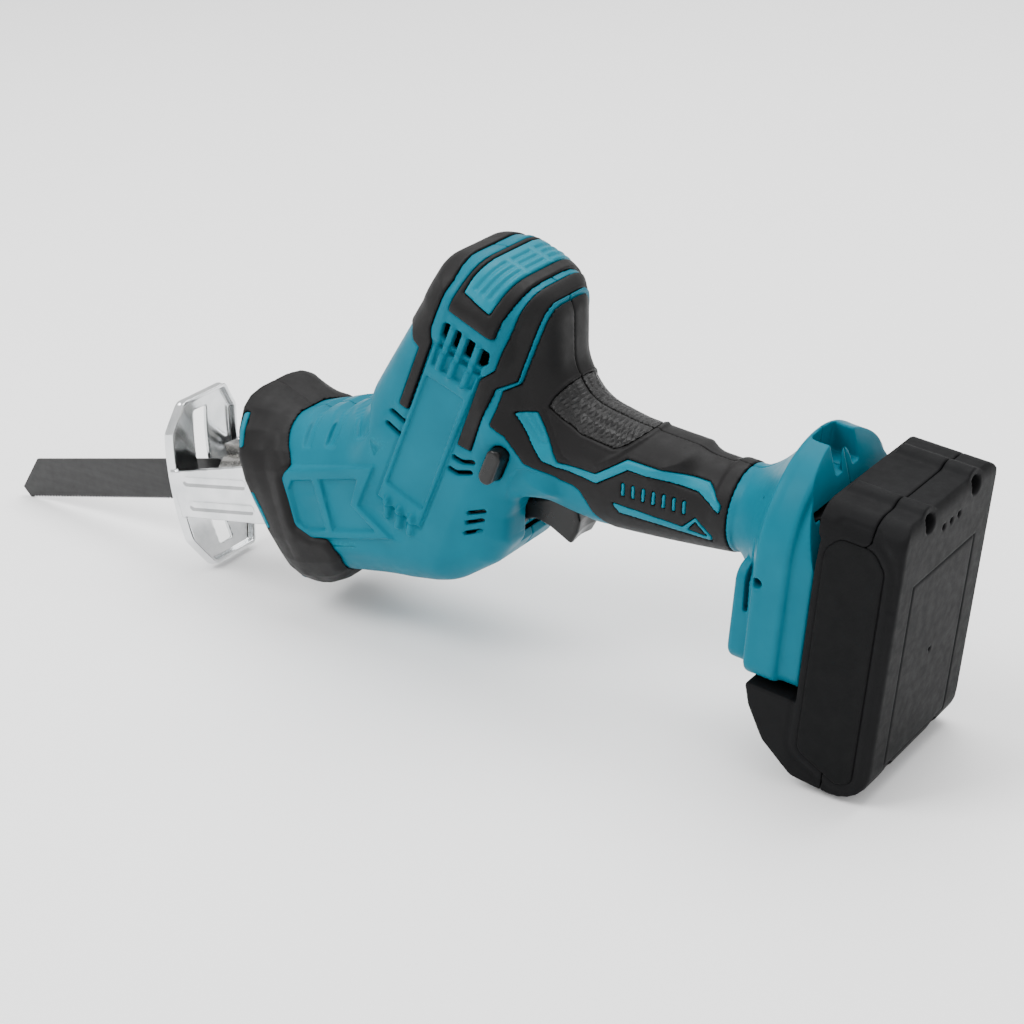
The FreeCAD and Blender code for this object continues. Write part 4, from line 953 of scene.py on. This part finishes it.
FINISHES = {
    "teal_shell": TEAL,
    "black_rubber": RUBBER_BLACK,
    "black_shell": SHELL_BLACK,
    "black_gloss": GLOSS_BLACK,
    "blade_coat": BLADE,
    "zinc_sheet": ZINC,
    "machined_steel": STEEL,
    "cast_case": CAST,
    "bronze": BRONZE,
    "copper": COPPER,
    "magnet": MAGNET,
    "board": BOARD,
    "cell_wrap": WRAP,
    "screw_steel": SCREW,
}


def finish_piece(obj, material, slot, body, *nodes):
    """Gives a piece its material, its body and the CAD nodes that it stands in for."""
    obj.data.materials.clear()
    obj.data.materials.append(material)
    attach(obj, body)
    if nodes:
        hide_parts(*nodes)


# ------------------------------------------------------------------ camera, light and floor


CAMERA_PLACE = (0.5156, -0.6329, 0.4305)
CAMERA_RIGHT = Vector((0.8155, 0.5773, -0.0403))
CAMERA_UP = Vector((-0.2171, 0.3698, 0.9034))
CAMERA_BACK = Vector((0.5364, -0.7280, 0.4269))
FOCAL_LENGTH, SENSOR_WIDTH = 77.63, 36
WORLD_STRENGTH = 1.05
FLOOR_REACH = 6.0
LAMP_TARGET = Vector((0, 0, 0.08))
LAMPS = [
    ("key", (-0.75, -0.9, 1.5), 30, 1.0),
    ("fill", (1.5, -0.7, 0.9), 5, 1.2),
    ("top", (0.1, 0.6, 1.7), 36, 1.4),
]


def make_camera():
    data = bpy.data.cameras.new("view")
    data.lens = FOCAL_LENGTH
    data.sensor_width = SENSOR_WIDTH
    data.clip_start, data.clip_end = 0.01, 50
    camera = bpy.data.objects.new("view", data)
    turn = Matrix((CAMERA_RIGHT, CAMERA_UP, CAMERA_BACK)).transposed().to_4x4()
    camera.matrix_world = Matrix.Translation(CAMERA_PLACE) @ turn
    bpy.context.scene.collection.objects.link(camera)
    bpy.context.scene.camera = camera


def make_world():
    world = bpy.data.worlds.new("studio")
    world.use_nodes = True
    background = world.node_tree.nodes["Background"]
    background.inputs["Color"].default_value = (1, 1, 1, 1)
    background.inputs["Strength"].default_value = WORLD_STRENGTH
    bpy.context.scene.world = world


def make_floor():
    mesh = bpy.data.meshes.new("floor")
    r = FLOOR_REACH
    mesh.from_pydata([(-r, -r, 0), (r, -r, 0), (r, r, 0), (-r, r, 0)], [], [(0, 1, 2, 3)])
    floor = bpy.data.objects.new("floor", mesh)
    bpy.context.scene.collection.objects.link(floor)
    m = Nodes("floor_paper")
    m.set(Base_Color=m.mix(m.remap(m.noise(3, 2), 0.3, 0.7, 0, 1), (0.96, 0.96, 0.96), (0.98, 0.98, 0.98)),
          Roughness=0.9, Specular_IOR_Level=0.1)
    mesh.materials.append(m.material)


def make_lamp(name, place, energy, size):
    light = bpy.data.lights.new(name, "AREA")
    light.energy = energy
    light.size = size
    lamp = bpy.data.objects.new(name, light)
    lamp.location = place
    lamp.rotation_euler = (LAMP_TARGET - Vector(place)).to_track_quat("-Z", "Y").to_euler()
    bpy.context.scene.collection.objects.link(lamp)


make_camera()
make_world()
make_floor()
for lamp_facts in LAMPS:
    make_lamp(*lamp_facts)

# ------------------------------------------------------------------ outer pieces

TOOL_LOW, TOOL_HIGH = (-80, -39, -68), (182, 0, 112)

tool = build(shell_fields, TOOL_LOW, TOOL_HIGH, same, {
    "shell_left": ("teal", "left", 0.5),
    "shell_right": ("teal_bored", "right", 0.5),
    "grip_left": ("grip", "left", 0.7),
    "grip_right": ("grip_bored", "right", 0.7),
    "grip_pad_left": ("pads", "left", 0.7),
    "grip_pad_right": ("pads", "right", 0.7),
    "grip_inlays": ("inlays", "whole", 0.8),
    "bands": ("black", "whole", 0.6),
    "shell_screws": ("screws", "right", 1.0),
    "top_frame": ("trim", "whole", 0.8),
    "top_lid": ("lid", "whole", 0.9),
}, reach=1.6)
finish_piece(tool["shell_left"], TEAL, "teal_shell", "tool_body", "housing_left")
finish_piece(tool["shell_right"], TEAL, "teal_shell", "tool_body", "housing_right")
finish_piece(tool["grip_left"], RUBBER_BLACK, "black_rubber", "tool_body", "grip_overmold_left")
finish_piece(tool["grip_right"], RUBBER_BLACK, "black_rubber", "tool_body", "grip_overmold_right")
finish_piece(tool["grip_pad_left"], PAD_BLACK, "black_rubber", "tool_body")
finish_piece(tool["grip_pad_right"], PAD_BLACK, "black_rubber", "tool_body")
finish_piece(tool["grip_inlays"], TEAL_LIGHT, "teal_shell", "tool_body")
finish_piece(tool["shell_screws"], SCREW, "screw_steel", "tool_body", "housing_screws")
finish_piece(tool["bands"], RUBBER_BLACK, "black_rubber", "tool_body", "side_trim_left", "side_trim_right")
finish_piece(tool["top_frame"], RUBBER_BLACK, "black_rubber", "tool_body", "top_trim")
finish_piece(tool["top_lid"], TEAL_LIGHT, "teal_shell", "tool_body", "top_cover")

boot = build(boot_fields, (-84, -38, -50), (-38, 0, 52), same, {
    "boot": ("boot", "whole", 0.6),
    "boot_pills": ("pills", "whole", 1.0),
}, reach=1.6)
finish_piece(boot["boot"], RUBBER_BLACK, "black_rubber", "tool_body", "nose_boot")
finish_piece(boot["boot_pills"], TEAL_LIGHT, "teal_shell", "tool_body", "boot_inserts")

pack = build(pack_fields, (154, -39, -46), (214, 0, 76), from_battery, {
    "pack_top": ("cover", "whole", 0.6),
    "pack_shell": ("base", "whole", 0.6),
    "pack_sides": ("inlay", "whole", 0.3),
})
finish_piece(pack["pack_top"], SHELL_BLACK, "black_shell", "battery", "pack_cover")
finish_piece(pack["pack_shell"], SHELL_BLACK, "black_shell", "battery", "pack_base")
finish_piece(pack["pack_sides"], INLAY_BLACK, "black_shell", "battery", "pack_inlay_left", "pack_inlay_right")

shoe = build(shoe_fields, (-142, -23, -38), (-56, 0, 43), same, {"shoe_plate": ("shoe", "whole", 0.8)},
             size=FINE_GRID)
finish_piece(shoe["shoe_plate"], ZINC, "zinc_sheet", "shoe", "shoe")

switch = build(trigger_fields, (35, -10, -26), (69, 0, 0), same, {"trigger_key": ("trigger", "whole", 1.0)},
               size=FINE_GRID)
finish_piece(switch["trigger_key"], GLOSS_BLACK, "black_gloss", "trigger", "trigger")
bolt = build(button_fields, (30, -35, 5), (72, 0, 32), same, {"lock_key": ("button", "whole", 1.0)},
             size=FINE_GRID)
finish_piece(bolt["lock_key"], GLOSS_BLACK, "black_gloss", "lock", "lock_button")

# ------------------------------------------------------------------ CAD nodes that stay

EDGE_WIDTH = 0.00015

for entry in frame["record"]["subparts"]:
    part = frame["nodes"].get(entry["node"])
    if part is None or part.hide_render:
        continue
    part.data.materials.clear()
    part.data.materials.append(FINISHES[entry["material_slot"]])
    bevel = part.modifiers.new("edge", "BEVEL")
    bevel.width = EDGE_WIDTH
    bevel.segments = 2
    bevel.limit_method = "ANGLE"
    bevel.angle_limit = math.radians(40)
